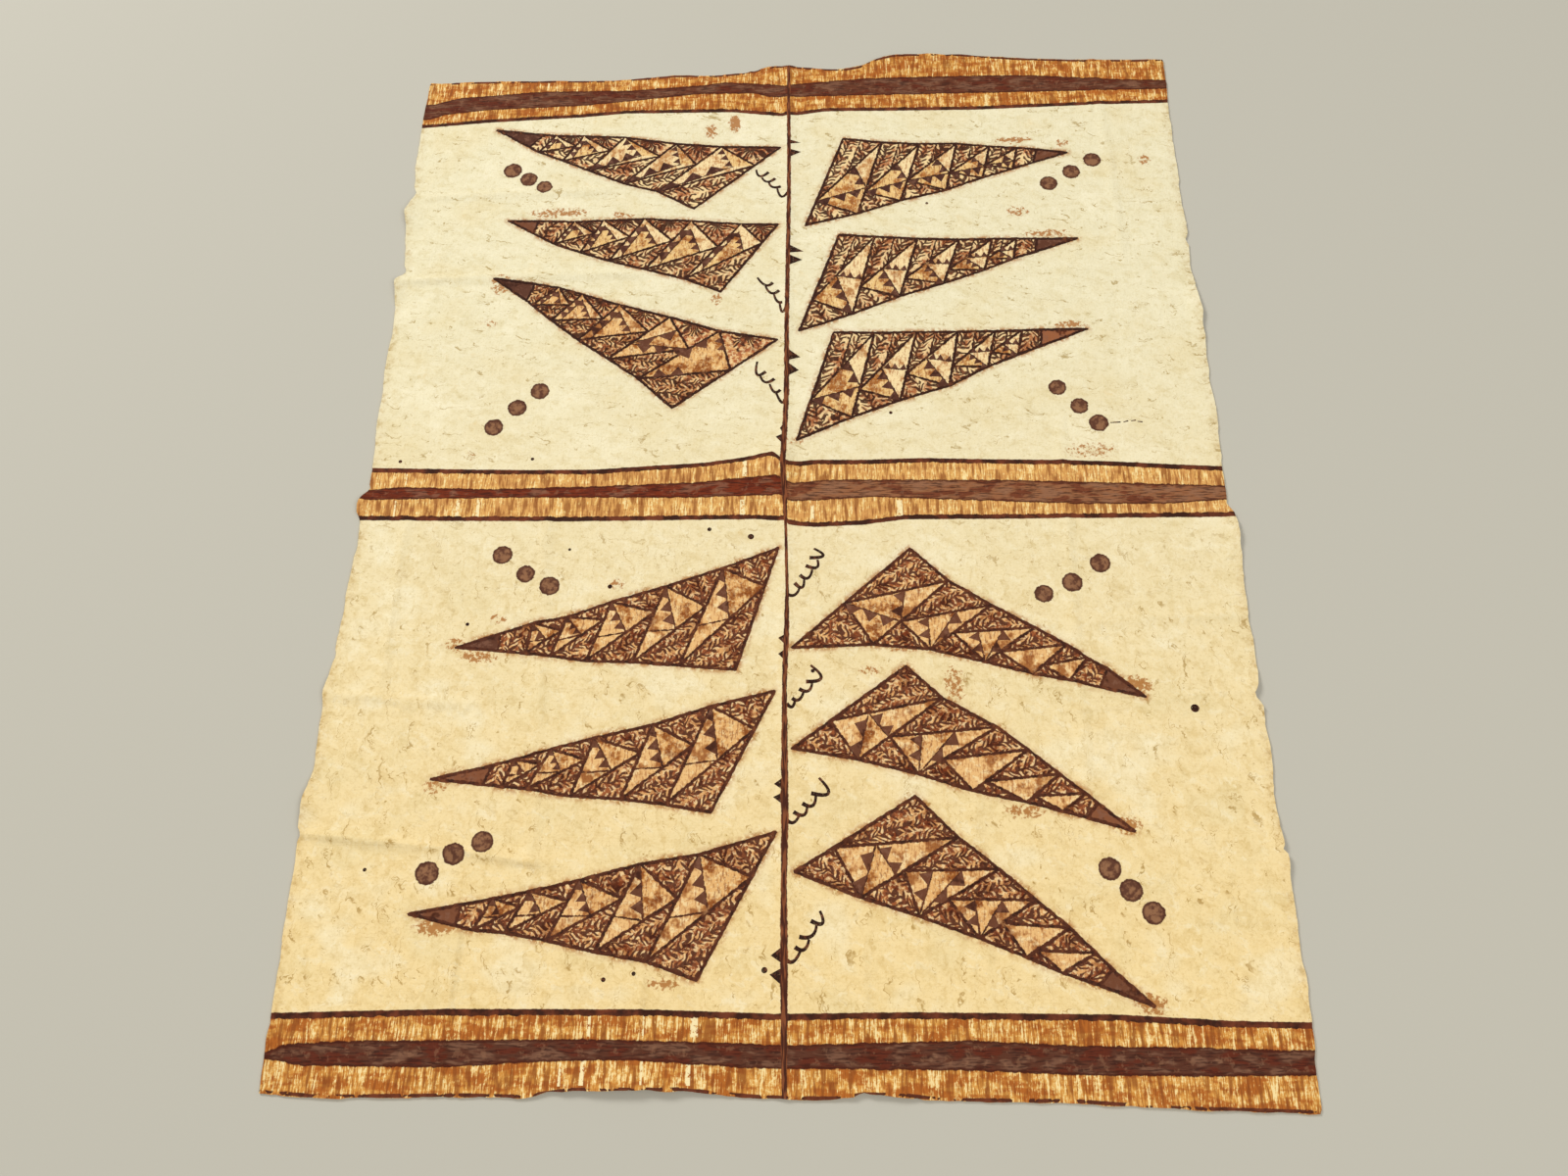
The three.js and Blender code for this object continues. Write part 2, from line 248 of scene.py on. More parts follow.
# Wedges. upper and lower hold matching points from the blunt side to the dark cap, pivots the share of
# the way down each crossing line at which its two branches part, splits how each triangle between the
# branches is divided, worn how far the paint is rubbed, and cap how pale the cap is.
WEDGES = table("tip upper lower pivots splits worn cap", [
    # Far left
    ((-485, 690),
     [(-17, 641), (-113, 645), (-187, 653), (-272, 669), (-339, 673), (-385, 675), (-405, 678)],
     [(-152, 517), (-211, 553), (-267, 571), (-326, 599), (-370, 621), (-411, 640), (-428, 652)],
     (0.30, 0.40, 0.32, 0.40, 0.40), ("bars", "bars", "bars", "peak", "peak"), 0.10, 0.10),
    # Upper left
    ((-446, 498),
     [(-19, 482), (-76, 484), (-155, 492), (-229, 498), (-294, 496), (-340, 494), (-398, 497)],
     [(-105, 353), (-161, 379), (-224, 398), (-281, 416), (-327, 433), (-370, 451), (-404, 472)],
     (0.28, 0.42, 0.41, 0.43, 0.40), ("peak",) * 5, 0.35, 0.45),
    # Middle left
    ((-456, 383),
     [(-17, 263), (-104, 280), (-180, 307), (-258, 331), (-317, 352), (-354, 365), (-392, 373)],
     [(-169, 144), (-222, 196), (-269, 232), (-317, 267), (-361, 304), (-393, 333), (-402, 341)],
     (0.45, 0.38, 0.35, 0.40, 0.40), ("open", "slanted", "peak", "peak", "peak"), 0.65, 0.15),
    # Far right
    ((442, 619),
     [(85, 657), (147, 648), (208, 643), (267, 642), (319, 635), (363, 631), (393, 627)],
     [(25, 480), (106, 501), (174, 526), (246, 546), (305, 570), (353, 587), (387, 599)],
     (0.73, 0.70, 0.65, 0.63, 0.60), ("slanted",) * 5, 0.05, 0.40),
    # Upper right
    ((443, 445),
     [(77, 460), (132, 455), (198, 450), (262, 447), (313, 447), (350, 447), (382, 446)],
     [(16, 279), (96, 308), (168, 340), (235, 363), (298, 387), (343, 408), (377, 420)],
     (0.69, 0.66, 0.70, 0.70, 0.65), ("hung",) * 5, 0.30, 0.20),
    # Middle right
    ((443, 275),
     [(68, 275), (128, 273), (190, 273), (252, 273), (307, 273), (347, 274), (376, 275)],
     [(14, 88), (93, 125), (163, 153), (235, 177), (293, 210), (338, 230), (373, 245)],
     (0.64, 0.68, 0.62, 0.64, 0.60), ("slanted", "hung", "hung", "hung", "hung"), 0.25, 1.00),
    # Lower left
    ((-442, -232),
     [(-11, -86), (-86, -116), (-163, -143), (-236, -166), (-295, -188), (-341, -197), (-384, -212)],
     [(-65, -265), (-140, -259), (-202, -254), (-265, -252), (-313, -245), (-347, -241), (-384, -237)],
     (0.32, 0.40, 0.34, 0.30, 0.35), ("spine",) * 5, 0.75, 0.20),
    # Near left
    ((-452, -414),
     [(-13, -295), (-95, -316), (-170, -341), (-245, -359), (-300, -374), (-347, -388), (-375, -396)],
     [(-91, -457), (-149, -447), (-206, -440), (-270, -436), (-327, -427), (-359, -424), (-384, -421)],
     (0.32, 0.40, 0.38, 0.38, 0.38), ("spine",) * 5, 0.70, 0.65),
    # Nearest left
    ((-457, -584),
     [(-9, -482), (-103, -510), (-176, -522), (-250, -542), (-310, -556), (-355, -565), (-393, -572)],
     [(-101, -660), (-162, -639), (-225, -628), (-285, -615), (-337, -606), (-376, -603), (-398, -598)],
     (0.31, 0.42, 0.40, 0.35, 0.38), ("spine",) * 5, 0.70, 0.50),
    # Lower right
    ((466, -304),
     [(170, -88), (220, -137), (276, -173), (331, -206), (371, -231), (396, -250), (421, -265)],
     [(9, -234), (117, -230), (192, -237), (263, -255), (324, -272), (371, -281), (409, -291)],
     (0.56, 0.64, 0.63, 0.71, 0.71), ("slanted", "spokes", "spokes", "plain", "plain"), 0.85, 0.35),
    # Near right
    ((434, -480),
     [(159, -261), (205, -305), (273, -345), (311, -375), (348, -407), (378, -432), (393, -445)],
     [(11, -373), (95, -388), (171, -407), (238, -429), (304, -443), (348, -455), (377, -463)],
     (0.67, 0.63, 0.69, 0.76, 0.78), ("keel", "spokes", "plain", "plain", "plain"), 0.80, 0.70),
    # Nearest right
    ((435, -686),
     [(166, -436), (217, -488), (265, -527), (307, -564), (345, -597), (373, -626), (391, -645)],
     [(15, -531), (96, -562), (166, -584), (237, -610), (291, -631), (332, -649), (373, -663)],
     (0.68, 0.56, 0.64, 0.60, 0.78), ("keel", "spokes", "spokes", "plain", "plain"), 0.85, 0.40),
])

# The blunt corner of the far left wedge is filled in.
BLUNT_TIP = ((-20, 640), (-44, 641), (-36, 629))

# Discs, in rows of three. Columns: x, y, radius.
DISCS = [
    (-450, 602, 15), (-422, 583, 14), (-395, 566, 13),
    (-366, 176, 14), (-397, 147, 14), (-428, 114, 14),
    (480, 603, 14), (445, 579, 14), (408, 556, 14),
    (391, 172, 13), (420, 140, 13), (445, 111, 14),
    (-393, -94, 14), (-358, -123, 13), (-323, -142, 14),
    (-376, -495, 14), (-410, -510, 14), (-441, -534, 15),
    (426, -112, 14), (386, -141, 14), (347, -157, 13),
    (399, -526, 14), (422, -552, 14), (446, -579, 14),
]

# Scroll hooks: each is a chain of arcs, and each arc runs start, bulge, end.
HOOKS = [
    [((-55, 595), (-49, 581), (-35, 589)), ((-46, 579), (-37, 569), (-24, 576)),
     ((-34, 567), (-28, 558), (-15, 559)), ((-21, 556), (-14, 538), (-4, 545))],
    [((-49, 379), (-36, 364), (-25, 369)), ((-36, 362), (-27, 349), (-15, 354)),
     ((-23, 347), (-18, 334), (-10, 331)), ((-14, 329), (-10, 313), (-4, 321))],
    [((-46, 224), (-46, 201), (-33, 206)), ((-41, 198), (-33, 187), (-20, 193)),
     ((-27, 184), (-20, 170), (-11, 173)), ((-17, 168), (-9, 151), (-4, 156))],
    [((38, -87), (51, -98), (32, -101)), ((43, -104), (42, -116), (27, -113)),
     ((36, -119), (30, -132), (19, -127)), ((25, -134), (22, -146), (12, -139)),
     ((19, -146), (12, -157), (1, -156))],
    [((34, -259), (48, -277), (28, -282)), ((36, -284), (31, -295), (19, -292)),
     ((25, -296), (19, -307), (10, -305)), ((14, -307), (10, -317), (3, -313))],
    [((45, -412), (57, -432), (35, -432)), ((41, -434), (37, -448), (24, -445)),
     ((30, -448), (26, -460), (13, -456)), ((20, -461), (12, -470), (2, -464))],
    [((46, -578), (49, -593), (35, -590)), ((42, -595), (36, -608), (21, -609)),
     ((33, -612), (27, -624), (16, -621)), ((23, -625), (14, -638), (5, -635))],
]
HOOK_HALF_WIDTH = 2.2
HOOK_STEPS = 9

# Short strokes that trail from a disc. Columns: from x, from y, to x, to y.
DASHES = [(461, 111, 476, 112), (480, 112, 487, 114), (491, 114, 498, 115), (500, 113, 507, 112)]
DASH_HALF_WIDTH = 0.9

# Notches: small dark triangles with their base on the centre line. Columns: tip x, tip y, base from, to.
NOTCHES = [
    (16, 651, 656, 646), (17, 631, 636, 618),
    (22, 428, 441, 424), (20, 412, 422, 400),
    (18, 231, 246, 224), (16, 208, 222, 196),
    (-11, 107, 118, 92), (-17, 93, 98, 76),
    (-9, -220, -214, -232), (-9, -243, -236, -254),
    (-12, -420, -410, -430), (-13, -437, -430, -449),
    (-13, -631, -619, -642), (-14, -653, -644, -668),
]

# Stray marks: spots of paint and small grains. Columns: x, y, radius.
SPOTS = [
    (527, -320, 4.0), (-49, -68, 3.0), (-107, -56, 1.8), (-240, -143, 2.0), (-212, -660, 1.6),
    (-176, -653, 1.4), (-520, -530, 1.3), (-366, 60, 1.4), (-558, 58, 1.5), (-20, -648, 2.4),
    (37, -267, 1.6), (149, 132, 1.4), (-430, -198, 1.4), (215, 520, 1.2), (-300, -86, 1.0),
]

# Slots left bare in the bands. Columns: x, y, half width, half height.
SLOTS = [
    (-555, -20, 1.2, 13), (-465, -20, 2.6, 13), (-436, -20, 2.4, 13), (-545, 28, 1.0, 9),
    (-62, -24, 3.4, 14), (-60, 40, 3.2, 13), (158, -26, 4.0, 13), (36, -30, 2.4, 12),
    (-225, -711, 1.8, 13), (-229, -764, 2.6, 14), (-106, -764, 2.8, 13), (-161, -711, 1.0, 12),
    (-255, -766, 1.6, 13), (-101, -712, 4.6, 12), (-160, -764, 1.2, 13), (-408, 784, 1.4, 8),
]

# Smears of rubbed paint. Columns: x, y, half length across, half length along, strength.
SMEARS = [
    (-92, 694, 7, 16, 0.85), (-131, 678, 8, 12, 0.55), (-365, 513, 42, 7, 0.45), (-265, 506, 16, 7, 0.35),
    (357, 648, 26, 5, 0.60), (436, 640, 9, 7, 0.35), (355, 501, 16, 9, 0.30), (396, 456, 32, 5, 0.45),
    (420, 283, 20, 5, 0.60), (-232, -140, 10, 5, 0.40), (-410, -245, 22, 8, 0.45),
    (222, -286, 12, 22, 0.35), (112, -266, 14, 6, 0.30), (-390, -190, 14, 4, 0.35),
    (430, 66, 34, 12, 0.22), (562, 600, 9, 10, 0.35), (-52, 640, 16, 5, 0.45), (-110, 340, 8, 10, 0.35),
    (-445, 372, 14, 16, 0.35), (300, -262, 26, 5, 0.35), (452, -288, 22, 10, 0.60),
    (-455, 300, 12, 7, 0.15), (300, -455, 22, 7, 0.45), (-420, -600, 24, 8, 0.60),
    (432, -684, 16, 11, 0.55), (424, -472, 16, 10, 0.50), (-446, -424, 14, 8, 0.30),
    (-444, -228, 14, 8, 0.35),
    (-140, -664, 18, 6, 0.40), (10, 86, 14, 4, 0.30), (-455, 66, 6, 6, 0.20), (160, -236, 26, 4, 0.35),
]

# Camera, from the photo's perspective
CAMERA_PLACE = (63.2, -871.1, 1554.5)
CAMERA_TILT = (25.018, 2.188, -0.319)
CAMERA_LENS = 29.025


def smooth(share):
    held = np.clip(share, 0, 1)
    return held * held * (3 - 2 * held)


def mix(first, second, share):
    return tuple(a + (b - a) * share for a, b in zip(first, second))


def along(points, place, column=1):
    """Reads a table as a line: its value at a place, held level beyond both ends."""
    return np.interp(place, [row[0] for row in points], [row[column] for row in points])


def grain(x, y, across, length, seed):
    """A smooth random field from 0 to 1, with humps of the given size."""
    rows = int(2 * GRAIN_REACH / length) + 3
    columns = int(2 * GRAIN_REACH / across) + 3
    lattice = np.random.default_rng(seed).random((rows, columns))
    u = (x + GRAIN_REACH) / across
    v = (y + GRAIN_REACH) / length
    column = np.floor(u).astype(int)
    row = np.floor(v).astype(int)
    s = smooth(u - column)
    t = smooth(v - row)
    lower = lattice[row, column] * (1 - s) + lattice[row, column + 1] * s
    upper = lattice[row + 1, column] * (1 - s) + lattice[row + 1, column + 1] * s
    return lower * (1 - t) + upper * t


def off_line(x, y, points):
    """Distance from a broken line, and how far from its nearer end that place lies, measured along it."""
    nearest = np.full(x.shape, 1e6)
    place = np.zeros(x.shape)
    run = 0.0
    for (ax, ay), (bx, by) in zip(points, points[1:]):
        length = math.hypot(bx - ax, by - ay)
        share = np.clip(((x - ax) * (bx - ax) + (y - ay) * (by - ay)) / length ** 2, 0, 1)
        away = np.hypot(x - ax - share * (bx - ax), y - ay - share * (by - ay))
        closer = away < nearest
        nearest = np.where(closer, away, nearest)
        place = np.where(closer, run + share * length, place)
        run += length
    return nearest, np.minimum(place, run - place)


def resample(points, step):
    """The same broken line with even steps."""
    points = np.array(points, float)
    run = np.concatenate([[0], np.cumsum(np.hypot(*np.diff(points, axis=0).T))])
    stops = np.linspace(0, run[-1], max(2, int(round(run[-1] / step)) + 1))
    return np.column_stack([np.interp(stops, run, points[:, 0]), np.interp(stops, run, points[:, 1])])


# Relief

def fold_line(fold, ends, place):
    return np.interp(place, (ends[0], 0, ends[1]), (fold.first, fold.middle, fold.last))


def fold_height(fold, offset, place):
    profile = smooth(1 - np.abs(offset) / FOLD_HALF_WIDTH)
    ends = smooth((place - fold.start) / FOLD_FADE) * smooth((fold.end - place) / FOLD_FADE)
    swell = 1 + (FOLD_FLATTEST - 1) * (0.5 + 0.5 * np.sin(place / 31 + fold.middle))
    return fold.height * profile * ends * swell


def underside(x, y):
    """Height of the underside over the floor, as in the solid."""
    height = np.zeros(x.shape)
    for fold in LENGTHWISE_FOLDS:
        height += fold_height(fold, x - fold_line(fold, (NEAR_END, FAR_END), y), y)
    for fold in CROSSWISE_FOLDS:
        height += fold_height(fold, y - fold_line(fold, (-HALF_WIDTH, HALF_WIDTH), x), x)
    for lift in LIFTS:
        reach = np.hypot((x - lift.x) / lift.across, (y - lift.y) / lift.along)
        height += lift.height * smooth(1 - reach)
    return height


def creases(x, y):
    height = np.zeros(x.shape)
    for crease in CREASES:
        away, from_end = off_line(x, y, crease.points)
        uneven = 0.7 + 0.6 * grain(x, y, 26, 26, crease.seed)
        ends = smooth(from_end / CREASE_FADE + 0.15)
        height += crease.height * uneven * smooth(1 - away / CREASE_HALF_WIDTH) * ends
    return height


def wrinkles(x, y):
    """Low unevenness of the beaten bark: upright in the near half, crosswise in the far half."""
    near = smooth((60 - y) / 260)
    upright = grain(x, y, 17, 110, 11) * 0.6 + grain(x, y, 9, 46, 12) * 0.25
    crosswise = grain(x, y, 90, 15, 13) * 0.45 + grain(x, y, 40, 8, 14) * 0.2
    cockle = grain(x, y, 70, 60, 15) * 0.8
    return near * upright + (1 - near) * crosswise + cockle


def face_height(x, y):
    return underside(x, y) + SHEET_THICKNESS + creases(x, y) + wrinkles(x, y)


# Outline and points

def edge_loop():
    """The torn outline, anticlockwise from the near left corner."""
    right = [(x, y) for y, x in RIGHT_EDGE]
    left = [(x, y) for y, x in LEFT_EDGE]
    corners = NEAR_EDGE + right[1:] + FAR_EDGE[-2::-1] + left[-2:0:-1]
    loop = resample(corners + corners[:1], EDGE_STEP)[:-1]
    x, y = loop.T.copy()
    wave_x = (grain(x, y, 24, 24, 21) - 0.5) * 2.4 + (grain(x, y, 7, 7, 22) - 0.5) * 1.4
    wave_y = (grain(x, y, 24, 24, 23) - 0.5) * 2.4 + (grain(x, y, 7, 7, 24) - 0.5) * 1.4
    loop += np.column_stack([wave_x, wave_y])
    for tear in TEARS:
        pull = smooth(1 - np.hypot(x - tear.x, y - tear.y) / tear.reach)
        loop += pull[:, None] * np.array([tear.dx, tear.dy])
    return loop


def inside_edges(x, y, margin):
    across = (x > along(LEFT_EDGE, y) + margin) & (x < along(RIGHT_EDGE, y) - margin)
    return across & (y > along(NEAR_EDGE, x) + margin) & (y < along(FAR_EDGE, x) - margin)


def scattered(step, seed):
    """Points in offset rows, each moved a little at random, inside the outline."""
    rng = np.random.default_rng(seed)
    columns = np.arange(*SCATTERED_ACROSS, step)
    x, y = np.meshgrid(columns, np.arange(*SCATTERED_ALONG, step * ROW_STEP))
    x[1::2] += step / 2
    x = x.ravel() + rng.uniform(-0.25, 0.25, x.size) * step
    y = y.ravel() + rng.uniform(-0.25, 0.25, y.size) * step
    keep = inside_edges(x, y, EDGE_MARGIN)
    return np.column_stack([x[keep], y[keep]])


def fold_guides(step):
    """Points along the crest of each fold and beside it, so that the mesh follows the ridge."""
    guides = []
    offsets = [FOLD_HALF_WIDTH * share for share in (-1, -0.5, 0, 0.5, 1)]
    for fold in LENGTHWISE_FOLDS:
        y = np.arange(max(fold.start, GUIDED_ALONG[0]), min(fold.end, GUIDED_ALONG[1]), step)
        x = fold_line(fold, (NEAR_END, FAR_END), y)
        guides += [np.column_stack([x + offset, y]) for offset in offsets]
    for fold in CROSSWISE_FOLDS:
        x = np.arange(max(fold.start, GUIDED_ACROSS[0]), min(fold.end, GUIDED_ACROSS[1]), step)
        y = fold_line(fold, (-HALF_WIDTH, HALF_WIDTH), x)
        guides += [np.column_stack([x, y + offset]) for offset in offsets]
    return inner_points(guides)


def crease_guides():
    guides = []
    for crease in CREASES:
        line = resample(crease.points, CREASE_HALF_WIDTH)
        offsets = (-CREASE_HALF_WIDTH, 0, CREASE_HALF_WIDTH)
        guides += [line + crosswise(line) * offset for offset in offsets]
    return inner_points(guides)


def crosswise(line):
    """The direction across a line at each of its points."""
    turn = np.gradient(line, axis=0)
    return np.column_stack([-turn[:, 1], turn[:, 0]]) / np.hypot(*turn.T)[:, None]


def inner_points(guides):
    points = np.vstack(guides)
    return points[inside_edges(points[:, 0], points[:, 1], EDGE_MARGIN)]


# Painted cells

Cell = namedtuple("Cell", "kind corners lines start toward worn", defaults=[0.5])


def plain(kind, corners, worn=0.5):
    """A cell with no lines of its own."""
    return Cell(kind, corners, (UNDRAWN,) * 3, corners[0], corners[1], worn)


def steps_along(start, end, inner, most):
    """Small dark triangles that stand in a row on a line and point towards a place."""
    if most == 0:
        return []
    cells = []
    length = math.dist(start, end)
    count = min(most, max(1, int(length / STEP_LENGTH)))
    normal = ((start[1] - end[1]) / length, (end[0] - start[0]) / length)
    middle = mix(start, end, 0.5)
    side = (inner[0] - middle[0]) * normal[0] + (inner[1] - middle[1]) * normal[1]
    reach = math.copysign(min(STEP_TALLEST, STEP_PROPORTION * length / count), side)
    for step in range(count):
        first = mix(start, end, (step + 0.06) / (count + 0.3))
        last = mix(start, end, (step + 0.98) / (count + 0.3))
        foot = mix(first, last, 0.45 + 0.2 * (step % 2))
        tip = (foot[0] + normal[0] * reach, foot[1] + normal[1] * reach)
        cells.append(plain(DARK, (first, last, tip)))
    return cells


def split_cells(corners, split):
    """A triangle cut across below one corner, and cut again on the slant, with dark steps on both cuts."""
    apex, first, last = (corners[number] for number in split.corners)
    p = mix(apex, first, split.shares[0])
    r = mix(apex, last, split.shares[1])
    cells = [
        Cell(split.tones[0], (apex, p, r), (BRANCH, INNER, BRANCH), apex, p),
        Cell(split.tones[1], (p, r, first), (INNER, INNER, BRANCH), p, first),
        Cell(split.tones[2], (r, first, last), (INNER, BRANCH, BRANCH), r, last),
    ]
    cells += steps_along(p, r, first if split.across > 0 else apex, abs(split.across))
    cells += steps_along(first, r, last if split.slant > 0 else p, abs(split.slant))
    return cells


def peak_cells(top, pivot, low):
    """Pale bars from the top down both sides, and dark steps round the small triangle between them."""
    heart = mix(top, mix(pivot, low, 0.42), 0.24)
    right = mix(pivot, low, 0.24)
    left = mix(low, pivot, 0.18)
    cells = [
        Cell(LIGHT, (top, pivot, right), (BRANCH, BRANCH, UNDRAWN), pivot, right),
        Cell(LIGHT, (top, right, heart), (UNDRAWN, INNER, UNDRAWN), pivot, right),
        Cell(OCHRE, (heart, right, left), (INNER, BRANCH, INNER), heart, right),
        Cell(LIGHT, (top, heart, left), (UNDRAWN, INNER, UNDRAWN), low, left),
        Cell(LIGHT, (top, left, low), (UNDRAWN, BRANCH, BRANCH), low, left),
    ]
    cells += steps_along(heart, right, left, 3)
    cells += steps_along(heart, left, mix(top, low, 0.5), 3)
    return cells


def bar_cells(top, pivot, low):
    """Bars along the two lines that meet at the pivot, each with dark steps on its inner side."""
    heart = mix(mix(top, low, 0.5), pivot, 0.66)
    cells = [
        Cell(OCHRE, (top, pivot, heart), (BRANCH, UNDRAWN, UNDRAWN), top, pivot),
        Cell(LIGHT, (low, pivot, heart), (BRANCH, UNDRAWN, INNER), low, pivot),
        Cell(LIGHT, (top, low, heart), (BRANCH, INNER, UNDRAWN), low, top),
    ]
    cells += steps_along(heart, top, low, 3)
    cells += steps_along(low, heart, top, 3)
    return cells


def open_cells(top, pivot, low):
    """One ochre triangle, with dark steps standing on its three sides."""
    cells = [Cell(OCHRE, (top, pivot, low), (BRANCH,) * 3, top, low)]
    for start, end, inner in ((top, low, pivot), (low, pivot, top), (top, pivot, low)):
        cells += steps_along(mix(start, end, 0.14), mix(start, end, 0.56), inner, 2)
    return cells


def spoke_cells(top, pivot, low):
    """Two lines from the low corner, with dark steps outside them."""
    p = mix(top, pivot, 0.38)
    q = mix(top, pivot, 0.70)
    cells = [
        Cell(LIGHT, (top, p, low), (BRANCH, INNER, BRANCH), top, low),
        Cell(OCHRE, (p, q, low), (BRANCH, INNER, INNER), p, low),
        Cell(LIGHT, (q, pivot, low), (BRANCH, BRANCH, INNER), q, low),
    ]
    cells += steps_along(p, mix(p, low, 0.8), top, 2)
    cells += steps_along(q, mix(q, low, 0.8), pivot, 2)
    return cells


def whole_cell(top, pivot, low):
    return [Cell(LIGHT, (top, pivot, low), (BRANCH,) * 3, top, low)]


STYLES = {
    "peak": peak_cells, "bars": bar_cells, "open": open_cells, "spokes": spoke_cells, "plain": whole_cell,
}


def divided(style, *corners):
    """The triangle between two ferns, divided in the given style."""
    if style in SPLITS:
        return split_cells(corners, SPLITS[style])
    return STYLES[style](*corners)


def twin_ferns(t0, t1, pivot, side):
    """Two ferns side by side, parted by a line that runs beside the blunt side of the wedge."""
    high = mix(t0, t1, 0.46)
    low = mix(t1, pivot, 0.54)
    top = mix(t0, high, 0.5)
    return [
        Cell(FERN, (t0, high, low), (OUTLINE, INNER, UNDRAWN), pivot, top),
        Cell(FERN, (t0, low, pivot), (UNDRAWN, BRANCH, side), pivot, top),
        Cell(FERN, (high, t1, low), (OUTLINE, BRANCH, INNER), low, mix(high, t1, 0.5)),
    ]


def wedge_cells(wedge):
    cells = []
    on_left = wedge.tip[0] < 0
    far = wedge.tip[1] > 0
    for place, (share, style) in enumerate(zip(wedge.pivots, wedge.splits)):
        t0, t1 = wedge.upper[place:place + 2]
        b0, b1 = wedge.lower[place:place + 2]
        side = DIVIDER if place else OUTLINE
        pivot = mix(t0, b0, share)
        top = mix(t0, t1, 0.5)
        if far and on_left:
            cells.append(Cell(FAN, (t0, t1, pivot), (OUTLINE, BRANCH, side), top, pivot))
            stem = (b1, mix(b0, pivot, 0.6))
        elif far:
            cells += twin_ferns(t0, t1, pivot, side)
            stem = (mix(b0, b1, 0.5), pivot)
        else:
            cells.append(Cell(FERN, (t0, t1, pivot), (OUTLINE, BRANCH, side), pivot, top))
            stem = (b1, mix(b0, pivot, 0.5))
        cells.append(Cell(FERN, (pivot, b1, b0), (BRANCH, OUTLINE, side), *stem))
        cells += divided(style, t1, pivot, b1)
    t0, t1 = wedge.upper[-2:]
    b0, b1 = wedge.lower[-2:]
    cells.append(Cell(FERN, (t0, t1, b0), (OUTLINE, UNDRAWN, DIVIDER), b0, t0))
    cells.append(Cell(FERN, (t1, b1, b0), (BRANCH, OUTLINE, UNDRAWN), b0, t0))
    cells = [cell._replace(worn=wedge.worn * (STEP_WEAR if cell.kind == DARK else 1)) for cell in cells]
    cells.append(Cell(DARK, (t1, wedge.tip, b1), (OUTLINE, OUTLINE, BRANCH), t1, b1, wedge.cap))
    return cells


def wedge_outline(wedge):
    return wedge.upper + [wedge.tip] + wedge.lower[::-1] + wedge.upper[:1]


def round_cell(kind, x, y, radius):
    """A disc. Its polygon is a little larger, so that the shader can draw the uneven rim."""
    reach = radius * 1.12 + 1
    turns = [math.tau * step / 16 for step in range(16)]
    corners = tuple((x + reach * math.cos(turn), y + reach * math.sin(turn)) for turn in turns)
    return Cell(kind, corners, (radius, UNDRAWN, UNDRAWN), (x, y), (x + 1, y))


def arc_through(start, bulge, end, steps):
    """Points on a smooth curve from start to end that passes through bulge."""
    points = []
    for step in range(steps + 1):
        share = step / steps
        swing = 4 * share * (1 - share)
        base = mix(start, end, share)
        middle = mix(start, end, 0.5)
        points.append((base[0] + swing * (bulge[0] - middle[0]), base[1] + swing * (bulge[1] - middle[1])))
    return points


def stroke_cell(points, half_width):
    """A brush stroke: a strip that is thinner where it starts."""
    line = np.array(points)
    press = crosswise(line) * (np.linspace(0.75, 1.25, len(points))[:, None] * half_width)
    strip = np.vstack([line + press, (line - press)[::-1]])
    return plain(INK, tuple(map(tuple, strip)))


def hook_cells():
    cells = []
    for hook in HOOKS:
        for start, bulge, end in hook:
            cells.append(stroke_cell(arc_through(start, bulge, end, HOOK_STEPS), HOOK_HALF_WIDTH))
    return cells


def dash_cells():
    return [stroke_cell([(x0, y0), (x1, y1)], DASH_HALF_WIDTH) for x0, y0, x1, y1 in DASHES]


def notch_cells():
    cells = []
    for tip_x, tip_y, first, last in NOTCHES:
        x = float(along([(row[0], row[1]) for row in CENTRE_LINE], tip_y))
        cells.append(plain(INK, ((x, first), (x, last), (tip_x, tip_y))))
    return cells


def slot_cells():
    cells = []
    for x, y, wide, high in SLOTS:
        near = [(x - wide, y - high), (x + wide, y - high)]
        far = [(x + 0.8 * wide, y + high), (x - wide, y + high)]
        cells.append(plain(BARE, tuple(near + far)))
    return cells


def paint_cells():
    cells = slot_cells()
    for wedge in WEDGES:
        cells += wedge_cells(wedge)
    cells += [round_cell(DISC, x, y, radius) for x, y, radius in DISCS]
    cells += [round_cell(INK, x, y, radius) for x, y, radius in SPOTS]
    cells += hook_cells()
    cells += dash_cells()
    cells += notch_cells()
    cells.append(plain(DARK, BLUNT_TIP, 0.15))
    return cells


# Measures that the shader reads

def band_measures(x, y):
    """How far inside a band, inside its dark stripe, and from the cloth's far or near edge."""
    far_in = y - along(FAR_BAND.cream_line, x)
    near_in = along(NEAR_BAND.cream_line, x) - y
    middle_in = np.minimum(along(MIDDLE_BAND_FAR.cream_line, x) - y, y - along(MIDDLE_NEAR_LINE, x))
    inside = np.maximum(np.maximum(far_in, near_in), middle_in)
    stripe = np.full(x.shape, -MEASURED)
    for band in (FAR_BAND, MIDDLE_BAND_FAR, NEAR_BAND):
        stripe = np.maximum(stripe, np.minimum(along(band.stripe_high, x) - y, y - along(band.stripe_low, x)))
    end = np.minimum(along(FAR_EDGE, x) - y, y - along(NEAR_EDGE, x))
    return np.clip(np.column_stack([inside, stripe, end]), -MEASURED, MEASURED)


